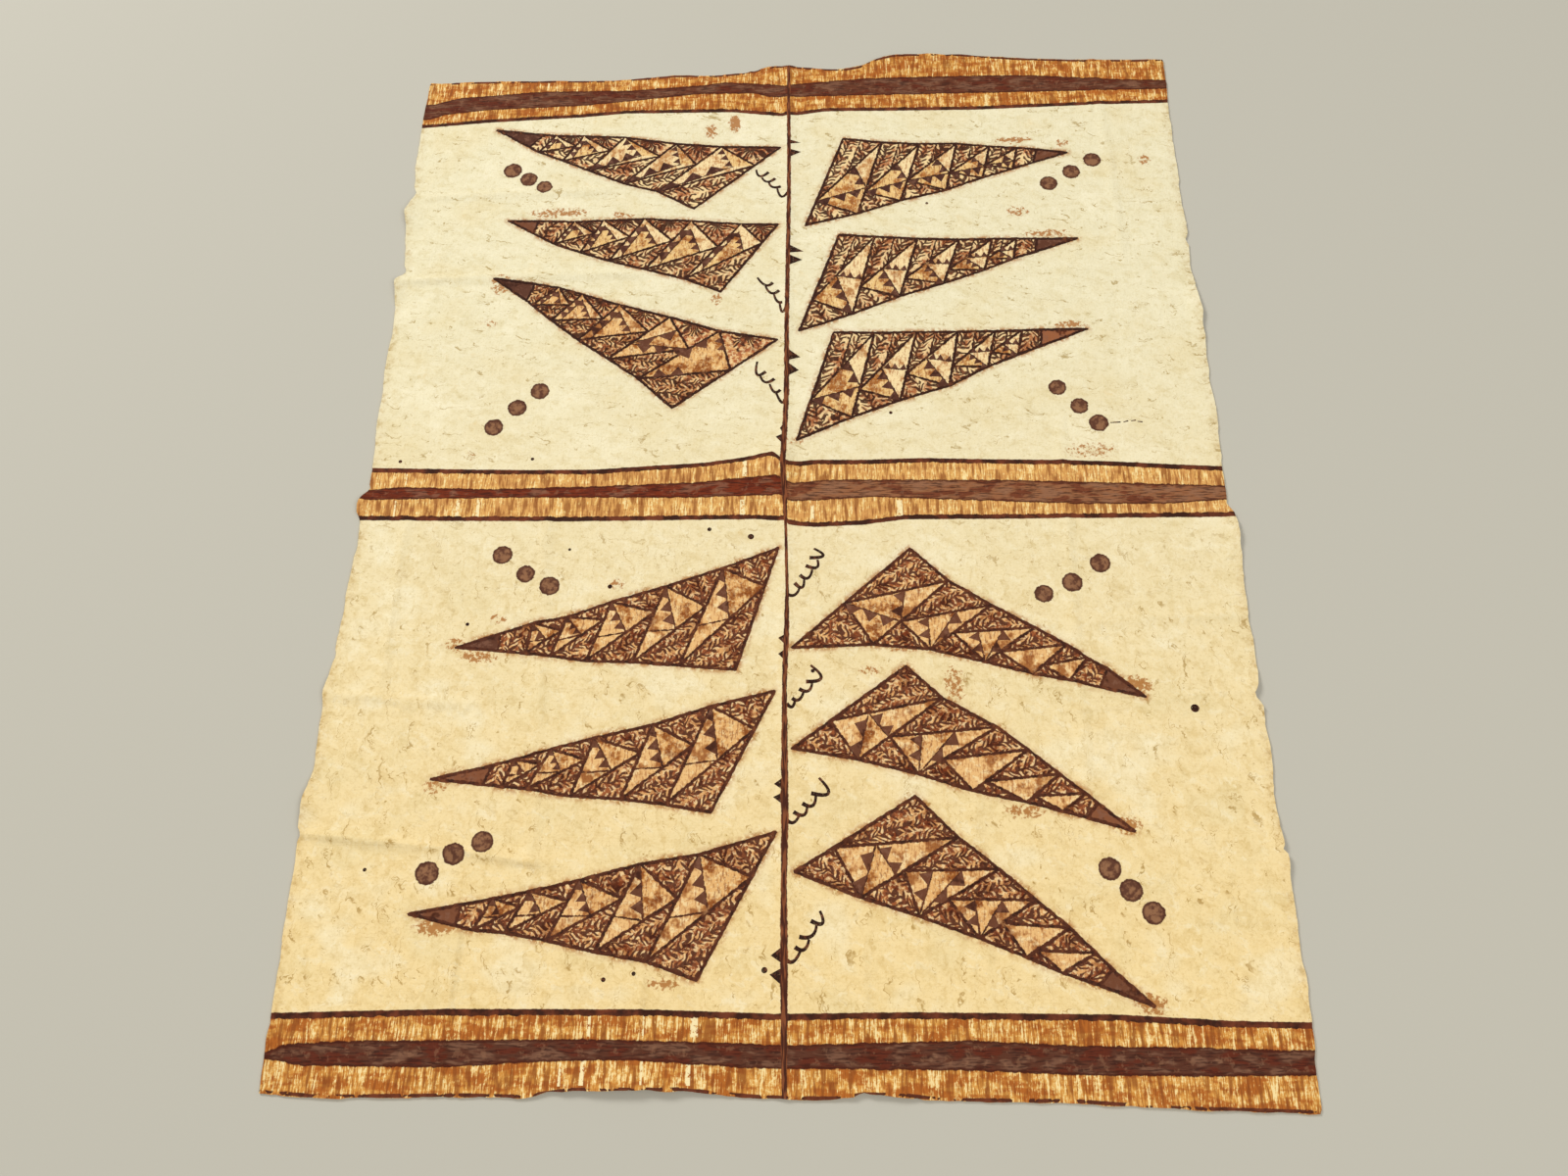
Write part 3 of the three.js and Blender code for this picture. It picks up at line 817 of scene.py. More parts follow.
def mark_measures(x, y):
    """How far from the centre line in half widths of it, from the wedges, and from the side edges."""
    centre = (x - along(CENTRE_LINE, y)) / along(CENTRE_LINE, y, 2)
    halo = np.full(x.shape, MEASURED)
    for wedge in WEDGES:
        near = np.hypot(x - wedge.tip[0] / 2, y - wedge.tip[1]) < WEDGE_REACH
        halo[near] = np.minimum(halo[near], off_line(x[near], y[near], wedge_outline(wedge))[0])
    side = np.minimum(x - along(LEFT_EDGE, y), along(RIGHT_EDGE, y) - x)
    return np.clip(np.column_stack([centre, halo, side]), -MEASURED, MEASURED)


def smear_measure(x, y):
    strength = np.zeros(x.shape)
    for place_x, place_y, across, length, most in SMEARS:
        reach = np.hypot((x - place_x) / across, (y - place_y) / length)
        strength = np.maximum(strength, most * smooth(1.5 - reach))
    return strength


# Mesh

def triangulate(loop, points, cells):
    """Constrained triangles inside the outline, and which of the points are the outline's."""
    groups = [loop, points] + [cell.corners for cell in cells]
    vertices = [Vector(place) for group in groups for place in group]
    edges = ring(0, len(loop))
    first = len(loop) + len(points)
    for cell in cells:
        edges += ring(first, len(cell.corners))
        first += len(cell.corners)
    out = delaunay_2d_cdt(vertices, edges, [], 1, 1e-3, False)
    number = {tuple(place): index for index, place in enumerate(out[0])}
    rim = np.array([number[tuple(place)] for place in vertices[:len(loop)]])
    places = np.array([tuple(place) for place in out[0]])
    triangles = np.array(out[2])
    return places, triangles[~outside(places, triangles, rim)], rim


def outside(places, triangles, rim):
    """Which triangles fill the bays of the outline. They stand on outline points only."""
    beyond = np.isin(triangles, rim).all(axis=1)
    x, y = places[triangles[beyond]].mean(axis=1).T
    beyond[beyond] = ~within(x, y, [tuple(place) for place in places[rim]])
    return beyond


def ring(first, count):
    return [(first + step, first + (step + 1) % count) for step in range(count)]


def within(x, y, corners):
    """Which places lie in a polygon, by counting the sides that a line from each one crosses."""
    crossed = np.zeros(x.shape, int)
    for (ax, ay), (bx, by) in zip(corners, corners[1:] + corners[:1]):
        if ay != by:
            beside = ax + (y - ay) / (by - ay) * (bx - ax)
            crossed += ((ay > y) != (by > y)) & (x < beside)
    return crossed % 2 == 1


def cell_owners(places, triangles, cells):
    """The cell that each triangle lies in, counted from one. Where cells are nested, the later one counts."""
    x, y = places[triangles].mean(axis=1).T
    order = np.argsort(x)
    owner = np.zeros(len(triangles), int)
    for number, cell in enumerate(cells, 1):
        columns = list(zip(*cell.corners))
        first, last = np.searchsorted(x[order], (min(columns[0]), max(columns[0])))
        near = order[first:last]
        near = near[(y[near] > min(columns[1])) & (y[near] < max(columns[1]))]
        owner[near[within(x[near], y[near], cell.corners)]] = number
    return owner


def upward(places, triangles, sign):
    """The same triangles, all turning the way that makes them face up or down."""
    a, b, c = (places[triangles[:, corner]] for corner in range(3))
    turn = (b[:, 0] - a[:, 0]) * (c[:, 1] - a[:, 1]) - (b[:, 1] - a[:, 1]) * (c[:, 0] - a[:, 0])
    wrong = turn * sign < 0
    triangles = triangles.copy()
    triangles[wrong] = triangles[wrong][:, ::-1]
    return triangles


def cell_measures(places, triangles, cells):
    """For each corner of each triangle: distances from its cell's lines, and place in the cell's frame."""
    owner = cell_owners(places, triangles, cells)
    edges = np.full((len(triangles), 3, 3), UNDRAWN)
    place = np.zeros((len(triangles), 3, 3))
    kind = np.zeros(len(triangles))
    corners = places[triangles]
    order = np.argsort(owner, kind="stable")
    groups = np.split(order, np.flatnonzero(np.diff(owner[order])) + 1)
    for group in groups:
        number = owner[group[0]]
        if number == 0:
            continue
        cell = cells[number - 1]
        kind[group] = cell.kind
        spots = corners[group]
        if len(cell.corners) == 3:
            for side in range(3):
                a = np.array(cell.corners[side])
                b = np.array(cell.corners[(side + 1) % 3])
                across = np.array([a[1] - b[1], b[0] - a[0]]) / np.linalg.norm(b - a)
                inward = np.sign((np.array(cell.corners[(side + 2) % 3]) - a) @ across)
                if cell.lines[side] < UNDRAWN:
                    edges[group, :, side] = (spots - a) @ across * inward - cell.lines[side]
        elif cell.lines[0] < UNDRAWN:
            edges[group, :, 0] = cell.lines[0]
        start = np.array(cell.start)
        stem = np.array(cell.toward) - start
        stem = stem / np.linalg.norm(stem)
        place[group, :, 0] = (spots - start) @ stem
        place[group, :, 1] = (spots - start) @ np.array([-stem[1], stem[0]])
        place[group, :, 2] = cell.worn
    return edges, place, kind


def sheet_mesh():
    loop = edge_loop()
    cells = paint_cells()
    face_points = [scattered(FACE_STEP, 31), fold_guides(FOLD_HALF_WIDTH / 2), crease_guides()]
    back_points = [scattered(BACK_STEP, 32), fold_guides(FOLD_HALF_WIDTH)]
    face, face_triangles, face_rim = triangulate(loop, np.vstack(face_points), cells)
    back, back_triangles, back_rim = triangulate(loop, np.vstack(back_points), [])
    face_triangles = upward(face, face_triangles, 1)
    back_triangles = upward(back, back_triangles, -1)

    centre = (loop.min(axis=0) + loop.max(axis=0)) / 2
    flat = np.vstack([face, back])
    height = np.concatenate([face_height(*face.T), underside(*back.T)])
    coordinates = np.column_stack([flat - centre, height]) * MM

    around = np.arange(len(loop))
    beyond = np.roll(around, -1)
    above = face_rim
    below = back_rim + len(face)
    rim = np.vstack([
        np.column_stack([below[around], below[beyond], above[beyond]]),
        np.column_stack([below[around], above[beyond], above[around]]),
    ])
    triangles = np.vstack([face_triangles, back_triangles + len(face), rim])

    mesh = bpy.data.meshes.new("bark_cloth")
    mesh.from_pydata(coordinates.tolist(), [], triangles.tolist())
    mark_sharp_rim(mesh, above, below)
    mesh.shade_smooth()

    edges, place, kind = cell_measures(face, face_triangles, cells)
    others = len(triangles) - len(face_triangles)
    store(mesh, "cell_edges", "CORNER", pad(edges.reshape(-1, 3), others * 3, UNDRAWN))
    store(mesh, "cell_place", "CORNER", pad(place.reshape(-1, 3), others * 3, 0))
    store(mesh, "cell_kind", "FACE", pad(kind, others, 0))
    store(mesh, "faces_up", "FACE", pad(np.ones(len(face_triangles)), others, 0))
    store(mesh, "band", "POINT", band_measures(*flat.T))
    store(mesh, "marks", "POINT", mark_measures(*flat.T))
    store(mesh, "smear", "POINT", smear_measure(*flat.T))
    bake_map(mesh, flat, triangles, len(face), len(face_triangles), len(back_triangles))
    return mesh


def pad(values, count, filler):
    return np.concatenate([values, np.full((count,) + values.shape[1:], float(filler))])


def store(mesh, name, domain, values):
    """Keeps one number or three for each place of a domain, for the shader to read."""
    vector = values.ndim == 2
    attribute = mesh.attributes.new(name, "FLOAT_VECTOR" if vector else "FLOAT", domain)
    attribute.data.foreach_set("vector" if vector else "value", values.ravel())


def mark_sharp_rim(mesh, above, below):
    """Keeps the shading of the two faces apart from that of the cut edge."""
    place = np.full(len(mesh.vertices), -9)
    place[above] = np.arange(len(above))
    place[below] = np.arange(len(below))
    pairs = np.zeros(len(mesh.edges) * 2, int)
    mesh.edges.foreach_get("vertices", pairs)
    ends = place[pairs.reshape(-1, 2)]
    apart = np.abs(ends[:, 0] - ends[:, 1])
    next_to = (apart == 1) | (apart == len(above) - 1)
    mesh.edges.foreach_set("use_edge_sharp", next_to & (ends.min(axis=1) >= 0))


def bake_map(mesh, flat, triangles, face_points, face_count, back_count):
    """A map with the face of the cloth large on the left and its back small on the right."""
    corner = flat[triangles.ravel()]
    group = np.repeat(np.arange(len(triangles)), 3)
    on_face = group < face_count
    on_back = ~on_face & (group < face_count + back_count)
    on_rim = ~on_face & ~on_back
    spread = np.where(on_rim & (triangles.ravel() >= face_points), MAP_RIM, 1.0)
    u, v = ((corner - MAP_CORNER) / MAP_SIZE - 0.5).T * spread + 0.5
    u = np.where(on_back, MAP_BACK[0] + MAP_BACK[1] * u, MAP_FACE * u)
    layer = mesh.uv_layers.new(name="OFBake")
    layer.data.foreach_set("uv", np.column_stack([u, v]).ravel())


# Shader

def shade(red, green, blue):
    """A screen colour, 0 to 255, as the linear colour that the shader takes."""
    values = [channel / 255 for channel in (red, green, blue)]
    return tuple(v / 12.92 if v <= 0.04045 else ((v + 0.055) / 1.055) ** 2.4 for v in values) + (1.0,)


class Shader:
    """Short calls for the nodes of one material. Values are sockets or plain numbers."""

    def __init__(self, name):
        self.material = bpy.data.materials.new(name)
        self.material.use_nodes = True
        self.tree = self.material.node_tree
        self.tree.nodes.clear()
        self.grains = {}

    def node(self, kind, **settings):
        node = self.tree.nodes.new(kind)
        for name, value in settings.items():
            setattr(node, name, value)
        return node

    def plug(self, socket, value):
        if isinstance(value, bpy.types.NodeSocket):
            self.tree.links.new(value, socket)
        elif value is not None:
            socket.default_value = value

    def math(self, operation, a, b=None, c=None):
        node = self.node("ShaderNodeMath", operation=operation)
        for socket, value in zip(node.inputs, (a, b, c)):
            self.plug(socket, value)
        return node.outputs[0]

    def add(self, a, b):
        return self.math("ADD", a, b)

    def less(self, a, b):
        return self.math("SUBTRACT", a, b)

    def times(self, a, b):
        return self.math("MULTIPLY", a, b)

    def least(self, a, b):
        return self.math("MINIMUM", a, b)

    def most(self, a, b):
        return self.math("MAXIMUM", a, b)

    def ramp(self, value, low, high, bottom=0.0, top=1.0):
        """A soft step from bottom to top as value goes from low to high. It falls where low is above high."""
        node = self.node("ShaderNodeMapRange", interpolation_type="SMOOTHSTEP", clamp=True)
        if isinstance(low, float | int) and isinstance(high, float | int) and low > high:
            low, high, bottom, top = high, low, top, bottom
        for socket, number in zip(node.inputs, (value, low, high, bottom, top)):
            self.plug(socket, number)
        return node.outputs[0]

    def colour(self, under, over, share, blend_type="MIX"):
        """One colour over another. A colour is a socket, or its red, green and blue from 0 to 255."""
        node = self.node("ShaderNodeMix", data_type="RGBA", blend_type=blend_type, clamp_factor=True)
        self.plug(node.inputs[0], share)
        for socket, colour in zip(node.inputs[6:8], (under, over)):
            self.plug(socket, shade(*colour) if isinstance(colour, tuple) else colour)
        return node.outputs[2]

    def multiply(self, under, over, share):
        return self.colour(under, over, share, "MULTIPLY")

    def layers(self, base, rows):
        """Colours laid over a base one by one. Columns: colour, value, where it starts, where full, share."""
        for colour, value, none, full, share in rows:
            base = self.colour(base, colour, self.ramp(value, none, full, 0, share))
        return base

    def read(self, name):
        return self.node("ShaderNodeAttribute", attribute_name=name)

    def split(self, vector):
        node = self.node("ShaderNodeSeparateXYZ")
        self.plug(node.inputs[0], vector)
        return node.outputs

    def scaled(self, place, across, length, shift):
        node = self.node("ShaderNodeVectorMath", operation="MULTIPLY_ADD")
        self.plug(node.inputs[0], place)
        node.inputs[1].default_value = (1 / across, 1 / length, 1)
        node.inputs[2].default_value = (shift, shift * 0.7, shift * 1.3)
        return node.outputs[0]

    def noise(self, place, across, length, detail=2.0, rough=0.5, shift=0.0):
        """Noise with features of the given size in millimetres."""
        noise = self.node("ShaderNodeTexNoise", noise_dimensions="2D")
        self.plug(noise.inputs["Vector"], self.scaled(place, across, length, shift))
        noise.inputs["Scale"].default_value = 1.0
        noise.inputs["Detail"].default_value = detail
        noise.inputs["Roughness"].default_value = rough
        return noise.outputs[0]

    def grain(self, place, size):
        """Even-sided noise from 0 to 1. Each size is made once and shared."""
        if size not in self.grains:
            self.grains[size] = self.noise(place, size, size, 3, 0.68, size)
        return self.grains[size]

    def bent(self, place, across, length):
        """The same place, moved about so that long grain laid on it wanders."""
        node = self.node("ShaderNodeVectorMath", operation="MULTIPLY_ADD")
        self.plug(node.inputs[0], self.grain(place, 28))
        node.inputs[1].default_value = (across, length, 0)
        self.plug(node.inputs[2], place)
        return node.outputs[0]

    def absolute(self, value):
        return self.math("ABSOLUTE", value)

    def distance(self, a, b):
        return self.math("SQRT", self.add(self.times(a, a), self.times(b, b)))

    def equals(self, value, number, margin=0.5):
        return self.math("COMPARE", value, float(number), margin)

    def contour(self, value, level, reach):
        """One along a contour of a noise, falling to nothing at the given reach on both sides."""
        return self.ramp(self.absolute(self.less(value, level)), reach, 0.0)


def ground_colour(s, place, y):
    """Unpainted bark: cream, yellower towards the near end, with clouds, felted fibres, stains and painted
    shade along fine creases.
    """
    cream = s.colour((239, 213, 156), (232, 222, 186), s.ramp(y, -760.0, 420.0))
    clouds = s.noise(place, 120, 90, 2, 0.6)
    cream = s.layers(cream, [
        ((227, 209, 160), clouds, 0.50, 0.72, 0.35),
        ((245, 236, 204), clouds, 0.46, 0.28, 0.35),
    ])
    bent = s.bent(place, 46, -34)
    near = s.ramp(y, 160.0, -240.0)
    felt = s.noise(bent, 24, 15, 3, 0.7, 5.0)
    cream = s.multiply(cream, (234, 226, 204), s.ramp(felt, 0.5, 0.70, 0, 0.4))
    cream = s.colour(cream, (247, 239, 210), s.ramp(felt, 0.45, 0.3, 0, 0.25))
    upright = s.noise(bent, 10, 32, 2, 0.6, 7.0)
    cream = s.multiply(cream, (236, 227, 204), s.times(s.ramp(upright, 0.50, 0.70, 0, 0.4), near))
    cream = s.multiply(cream, (222, 210, 182), s.ramp(s.grain(place, 3.4), 0.54, 0.76, 0, 0.45))
    cream = s.multiply(cream, (226, 219, 196), s.ramp(s.grain(place, 11), 0.54, 0.78, 0, 0.4))
    # Painted shade along the fine creases
    cream = s.multiply(cream, (196, 178, 140), s.times(crease_shade_lines(s, bent, near), 0.9))
    return s.colour(cream, (226, 196, 138), s.ramp(s.grain(place, 28), 0.66, 0.82, 0, 0.3))


def crease_shade_lines(s, place, near):
    """Painted shade along fine short creases: upright in the near half, crosswise in the far half."""
    upright = s.contour(s.noise(place, 17, 90, 1, 0.5, 131.0), 0.52, 0.022)
    crosswise = s.contour(s.noise(place, 90, 17, 1, 0.5, 137.0), 0.52, 0.022)
    shown = s.grain(place, 28)
    upright = s.times(upright, s.times(s.ramp(shown, 0.50, 0.60), near))
    crosswise = s.times(crosswise, s.times(s.ramp(shown, 0.50, 0.40), s.less(1.0, s.times(near, 0.7))))
    return s.most(upright, crosswise)


def band_colour(s, place, y, patch):
    """Ochre rubbed on over ribs: fine streaks across the band, with cream showing in between."""
    streaks = s.noise(place, 1.8, 17, 2, 0.65, 23.0)
    wide = s.noise(place, 7, 44, 1, 0.6, 29.0)
    mottle = s.grain(place, 3.4)
    ochre = s.layers((208, 143, 64), [
        ((176, 100, 38), patch, 0.42, 0.60, 1),
        ((228, 176, 104), s.absolute(y), 200.0, 100.0, 0.6),
        ((134, 72, 30), wide, 0.52, 0.70, 0.7),
        ((132, 70, 28), streaks, 0.53, 0.68, 0.65),
    ])
    bare = s.add(s.times(s.less(0.5, streaks), 0.75), s.times(s.less(mottle, 0.5), 0.45))
    bare = s.add(bare, s.add(s.times(s.less(0.5, patch), 0.3), s.times(s.less(0.5, wide), 0.55)))
    return s.layers(ochre, [
        ((236, 196, 118), bare, 0.02, 0.14, 0.7),
        ((246, 226, 168), bare, 0.13, 0.21, 0.75),
    ])


def stripe_colour(s, place, x, y, depth, patch):
    """Dark stripe: maroon on the middle band's left, greyish mauve on its right, brown on the other two."""
    streaks = s.noise(place, 22, 2.2, 2, 0.65, 41.0)
    blots = s.grain(place, 11)
    far = s.ramp(y, 300.0, 500.0)
    near = s.ramp(y, -300.0, -500.0)
    right = s.ramp(x, -7.0, 5.0)
    middle = s.colour((116, 48, 24), (146, 95, 62), right)
    body = s.colour(middle, (102, 57, 37), far)
    body = s.colour(body, (91, 52, 36), near)
    body = s.layers(body, [
        ((98, 38, 20), patch, 0.52, 0.62, 0.7),
        ((140, 102, 78), patch, 0.48, 0.38, 0.45),
        ((52, 25, 18), streaks, 0.48, 0.64, 0.7),
        ((146, 104, 76), blots, 0.44, 0.32, 0.35),
    ])
    rim = s.add(depth, s.times(s.less(blots, 0.5), 8.0))
    return s.colour(body, (70, 27, 15), s.ramp(rim, 4.4, 0.8, 0, 0.85))


def fern_pattern(s, place, frame_place, fan, size):
    """Dark leaf strokes: slanting off stems, or spread as a fan from one corner."""
    along_stem, across, _ = s.split(frame_place)
    sway = s.less(s.noise(place, 17, 17, 1, 0.5, 47.0), 0.5)
    drift = s.less(s.noise(place, 17, 17, 1, 0.5, 53.0), 0.5)
    stem = s.math("DIVIDE", s.add(along_stem, s.times(sway, 15.0)), size)
    side = s.math("DIVIDE", s.add(across, s.times(drift, 15.0)), size)
    folded = s.math("WRAP", side, STEM_STEP / 2, -STEM_STEP / 2)
    away = s.absolute(folded)
    lag = s.times(s.math("SIGN", folded), 2.4)
    phase = s.math("WRAP", s.add(s.less(stem, s.times(away, 0.9)), lag), LEAF_STEP / 2, -LEAF_STEP / 2)
    leaf = s.ramp(s.add(s.absolute(phase), s.times(away, 0.06)), 3.6, 2.6)
    leaf = s.times(leaf, s.ramp(away, 11.6, 10.2))
    leaves = s.most(leaf, s.ramp(away, 2.0, 1.2))
    reach = s.distance(stem, side)
    angle = s.math("WRAP", s.math("ARCTAN2", side, stem), RAY_STEP / 2, -RAY_STEP / 2)
    rays = s.less(s.times(s.absolute(angle), reach), s.add(s.times(reach, 0.05), 0.7))
    rays = s.times(s.ramp(rays, 0.9, 0.1), s.ramp(s.add(reach, s.times(sway, 34.0)), 34.0, 27.0))
    strokes = s.add(s.times(leaves, s.less(1.0, fan)), s.times(rays, fan))
    return s.times(strokes, s.ramp(s.grain(place, 6), 0.30, 0.38))


def fern_paint(s, place, frame_place, worn, fan, low):
    """Leaf strokes on cream with rusty smudges where little is rubbed, and on brown where much is."""
    patch = s.grain(place, 28)
    cloudy = s.grain(place, 11)
    fresh = s.colour((236, 206, 150), (180, 104, 58), s.ramp(patch, 0.44, 0.58, 0, 0.9))
    rubbed = s.colour((216, 162, 102), (152, 84, 46), s.ramp(cloudy, 0.42, 0.56))
    under = s.colour(fresh, rubbed, s.ramp(worn, 0.1, 0.75))
    under = s.colour(under, (172, 98, 58), s.times(fan, s.ramp(cloudy, 0.42, 0.56, 0, 0.8)))
    under = s.colour(under, (243, 214, 160), s.ramp(s.grain(place, 6), 0.50, 0.60, 0, 0.7))
    size = s.ramp(worn, 0.5, 0.65, 1.0, 0.86)
    strokes = fern_pattern(s, place, frame_place, fan, size)
    ink = s.colour((62, 30, 19), (82, 40, 26), low)
    ink = s.colour(ink, (142, 80, 46), s.ramp(cloudy, 0.50, 0.68, 0, 0.6))
    return s.colour(under, ink, s.times(strokes, 0.96))


def kite_paint(s, place, worn):
    """The divided triangles: pale, and ochre rubbed over the ribs."""
    fine = s.grain(place, 3.4)
    patch = s.grain(place, 28)
    cloudy = s.grain(place, 11)
    streaks = s.noise(place, 3.2, 14, 2, 0.7, 73.0)
    worn_down = s.ramp(worn, 0.3, 0.75)
    pale = s.layers(s.colour((240, 215, 162), (230, 184, 122), worn_down), [
        ((206, 148, 84), patch, 0.46, 0.62, 0.8),
        ((243, 216, 162), cloudy, 0.47, 0.38, 0.75),
        ((172, 108, 60), streaks, 0.52, 0.68, 0.7),
        ((166, 104, 62), fine, 0.46, 0.32, 0.5),
    ])
    ochre = s.layers(s.colour((228, 188, 122), (226, 176, 112), worn_down), [
        ((186, 122, 60), patch, 0.44, 0.60, 1),
        ((241, 210, 152), cloudy, 0.45, 0.35, 0.65),
        ((146, 84, 44), streaks, 0.50, 0.66, 0.75),
        ((241, 214, 160), fine, 0.55, 0.68, 0.65),
    ])
    return pale, ochre


def cell_paint(s, place, y, ground):
    """Everything inside the wedges, the discs and the small inked marks. Returns colour and ink."""
    kind = s.read("cell_kind").outputs["Fac"]
    edges = s.split(s.read("cell_edges").outputs["Vector"])
    frame_place = s.read("cell_place").outputs["Vector"]
    frame_x, frame_y, worn = s.split(frame_place)
    patch = s.grain(place, 28)
    cloudy = s.grain(place, 11)
    low = s.ramp(y, 20.0, -60.0)
    ink = s.layers(s.colour((58, 30, 20), (84, 44, 28), low), [
        ((44, 24, 18), cloudy, 0.48, 0.64, 0.75),
        ((138, 80, 46), cloudy, 0.42, 0.30, 0.45),
    ])

    fan = s.equals(kind, FAN)
    fern = fern_paint(s, place, frame_place, worn, fan, low)
    pale, ochre = kite_paint(s, place, worn)
    dark = s.layers(s.colour((72, 42, 33), (150, 92, 58), worn), [
        ((128, 88, 68), cloudy, 0.48, 0.68, 0.6),
        ((56, 29, 22), patch, 0.52, 0.68, 0.6),
    ])
    paint = s.colour(ground, fern, s.most(s.equals(kind, FERN), fan))
    for code, colour in ((LIGHT, pale), (OCHRE, ochre), (DARK, dark)):
        paint = s.colour(paint, colour, s.equals(kind, code))
    in_wedge = s.equals(kind, (FERN + DARK) / 2, DARK / 2)
    sooty = s.times(s.ramp(patch, 0.50, 0.66, 0, 0.8), s.ramp(worn, 0.0, 0.7, 0.4, 1.0))
    paint = s.multiply(paint, (176, 136, 112), s.times(sooty, in_wedge))

    # Lines round each cell, with uneven edges
    wander = s.times(s.less(s.grain(place, 6), 0.5), 4.4)
    nearest = s.add(s.least(edges[0], s.least(edges[1], edges[2])), wander)
    lines = s.times(s.ramp(nearest, 0.45, -0.45), s.ramp(patch, 0.74, 0.64, 0.5, 1))
    paint = s.colour(paint, ink, s.times(lines, in_wedge))

    # Discs: an uneven rim, darker outside than in the middle
    beyond = s.add(s.less(s.distance(frame_x, frame_y), edges[0]), wander)
    disc = s.layers((142, 100, 70), [
        ((94, 58, 42), cloudy, 0.40, 0.62, 1),
        ((78, 44, 31), beyond, -4.4, -1.4, 0.85),
    ])
    paint = s.colour(paint, disc, s.times(s.ramp(beyond, 0.5, -0.5), s.equals(kind, DISC)))

    mark = s.colour((46, 25, 17), (98, 56, 36), s.ramp(cloudy, 0.50, 0.66))
    mark_share = s.times(s.equals(kind, INK), s.ramp(s.grain(place, 3.4), 0.76, 0.62, 0.5, 1))
    return s.colour(paint, mark, mark_share), ink


def paint_colour(s, place, x, y):
    """The whole painted face."""
    ground = ground_colour(s, place, y)
    inside, stripe, end = s.split(s.read("band").outputs["Vector"])
    centre, halo, side = s.split(s.read("marks").outputs["Vector"])
    smear = s.read("smear").outputs["Fac"]
    kind = s.read("cell_kind").outputs["Fac"]
    wander = s.less(s.grain(place, 11), 0.5)
    ragged = s.times(wander, 3.6)

    # Rubbed paint that strayed: smears, and a broken fringe round the wedges
    rub = s.grain(place, 6)
    smeared = s.ramp(s.add(rub, s.times(smear, 0.5)), 0.56, 0.72, 0, 0.9)
    smeared = s.times(smeared, s.ramp(smear, 0.02, 0.12))
    fringe = s.times(s.ramp(halo, 11.0, 0.0), s.ramp(s.grain(place, 28), 0.44, 0.60, 0.3, 1.0))
    fringe = s.times(fringe, s.ramp(rub, 0.36, 0.50, 0, 0.95))
    ground = s.colour(ground, (170, 108, 48), s.most(smeared, fringe))

    bare = s.equals(kind, BARE)
    patch = s.noise(place, 42, 15, 2, 0.65, 31.0)
    ochre = band_colour(s, place, y, patch)
    ochre = s.colour(ochre, (243, 224, 172), s.times(bare, s.ramp(rub, 0.36, 0.48)))
    band_share = s.ramp(s.add(inside, s.times(wander, 3.0)), -0.4, 0.8)
    painted = s.colour(ground, ochre, band_share)
    stripe_share = s.ramp(s.add(stripe, s.times(wander, 5.0)), -0.8, 0.8)
    painted = s.colour(painted, stripe_colour(s, place, x, y, stripe, patch), stripe_share)

    tint = s.grain(place, 28)
    ink = s.colour((58, 30, 20), (112, 56, 34), s.ramp(tint, 0.36, 0.72))
    cream_line = s.less(s.absolute(s.add(inside, s.times(wander, 4.0))), 3.7)
    end_line = s.less(s.absolute(s.less(end, 1.8)), s.ramp(tint, 0.40, 0.50, -1.0, 2.2))
    line_share = s.ramp(s.add(s.least(cream_line, end_line), s.times(wander, 2.0)), 0.5, -0.5)
    painted = s.colour(painted, ink, line_share)

    # The outline of the wedges, on open ground and on bare slots, which are the first and last kind
    painted, cell_ink = cell_paint(s, place, y, painted)
    outside = s.math("GREATER_THAN", s.absolute(s.less(kind, 4.0)), 3.5)
    outline = s.times(s.ramp(s.add(halo, ragged), 2.5, 1.7), outside)
    painted = s.colour(painted, cell_ink, outline)

    # The centre line, and darker colour along the side edges
    beyond = s.times(s.less(s.absolute(centre), 1.25), 3.0)
    centre_share = s.ramp(s.add(beyond, s.times(wander, 3.0)), 0.5, -0.6)
    centre_streaks = s.noise(place, 3, 26, 1, 0.6, 103.0)
    centre_ink = s.colour((72, 36, 24), (130, 74, 44), s.ramp(centre_streaks, 0.42, 0.64))
    painted = s.colour(painted, centre_ink, centre_share)

    side_edge_darkening = s.times(s.ramp(side, 16.0, 0.0), s.ramp(s.grain(place, 11), 0.42, 0.7, 0.1, 0.55))
    return s.multiply(painted, (206, 182, 140), side_edge_darkening), ground


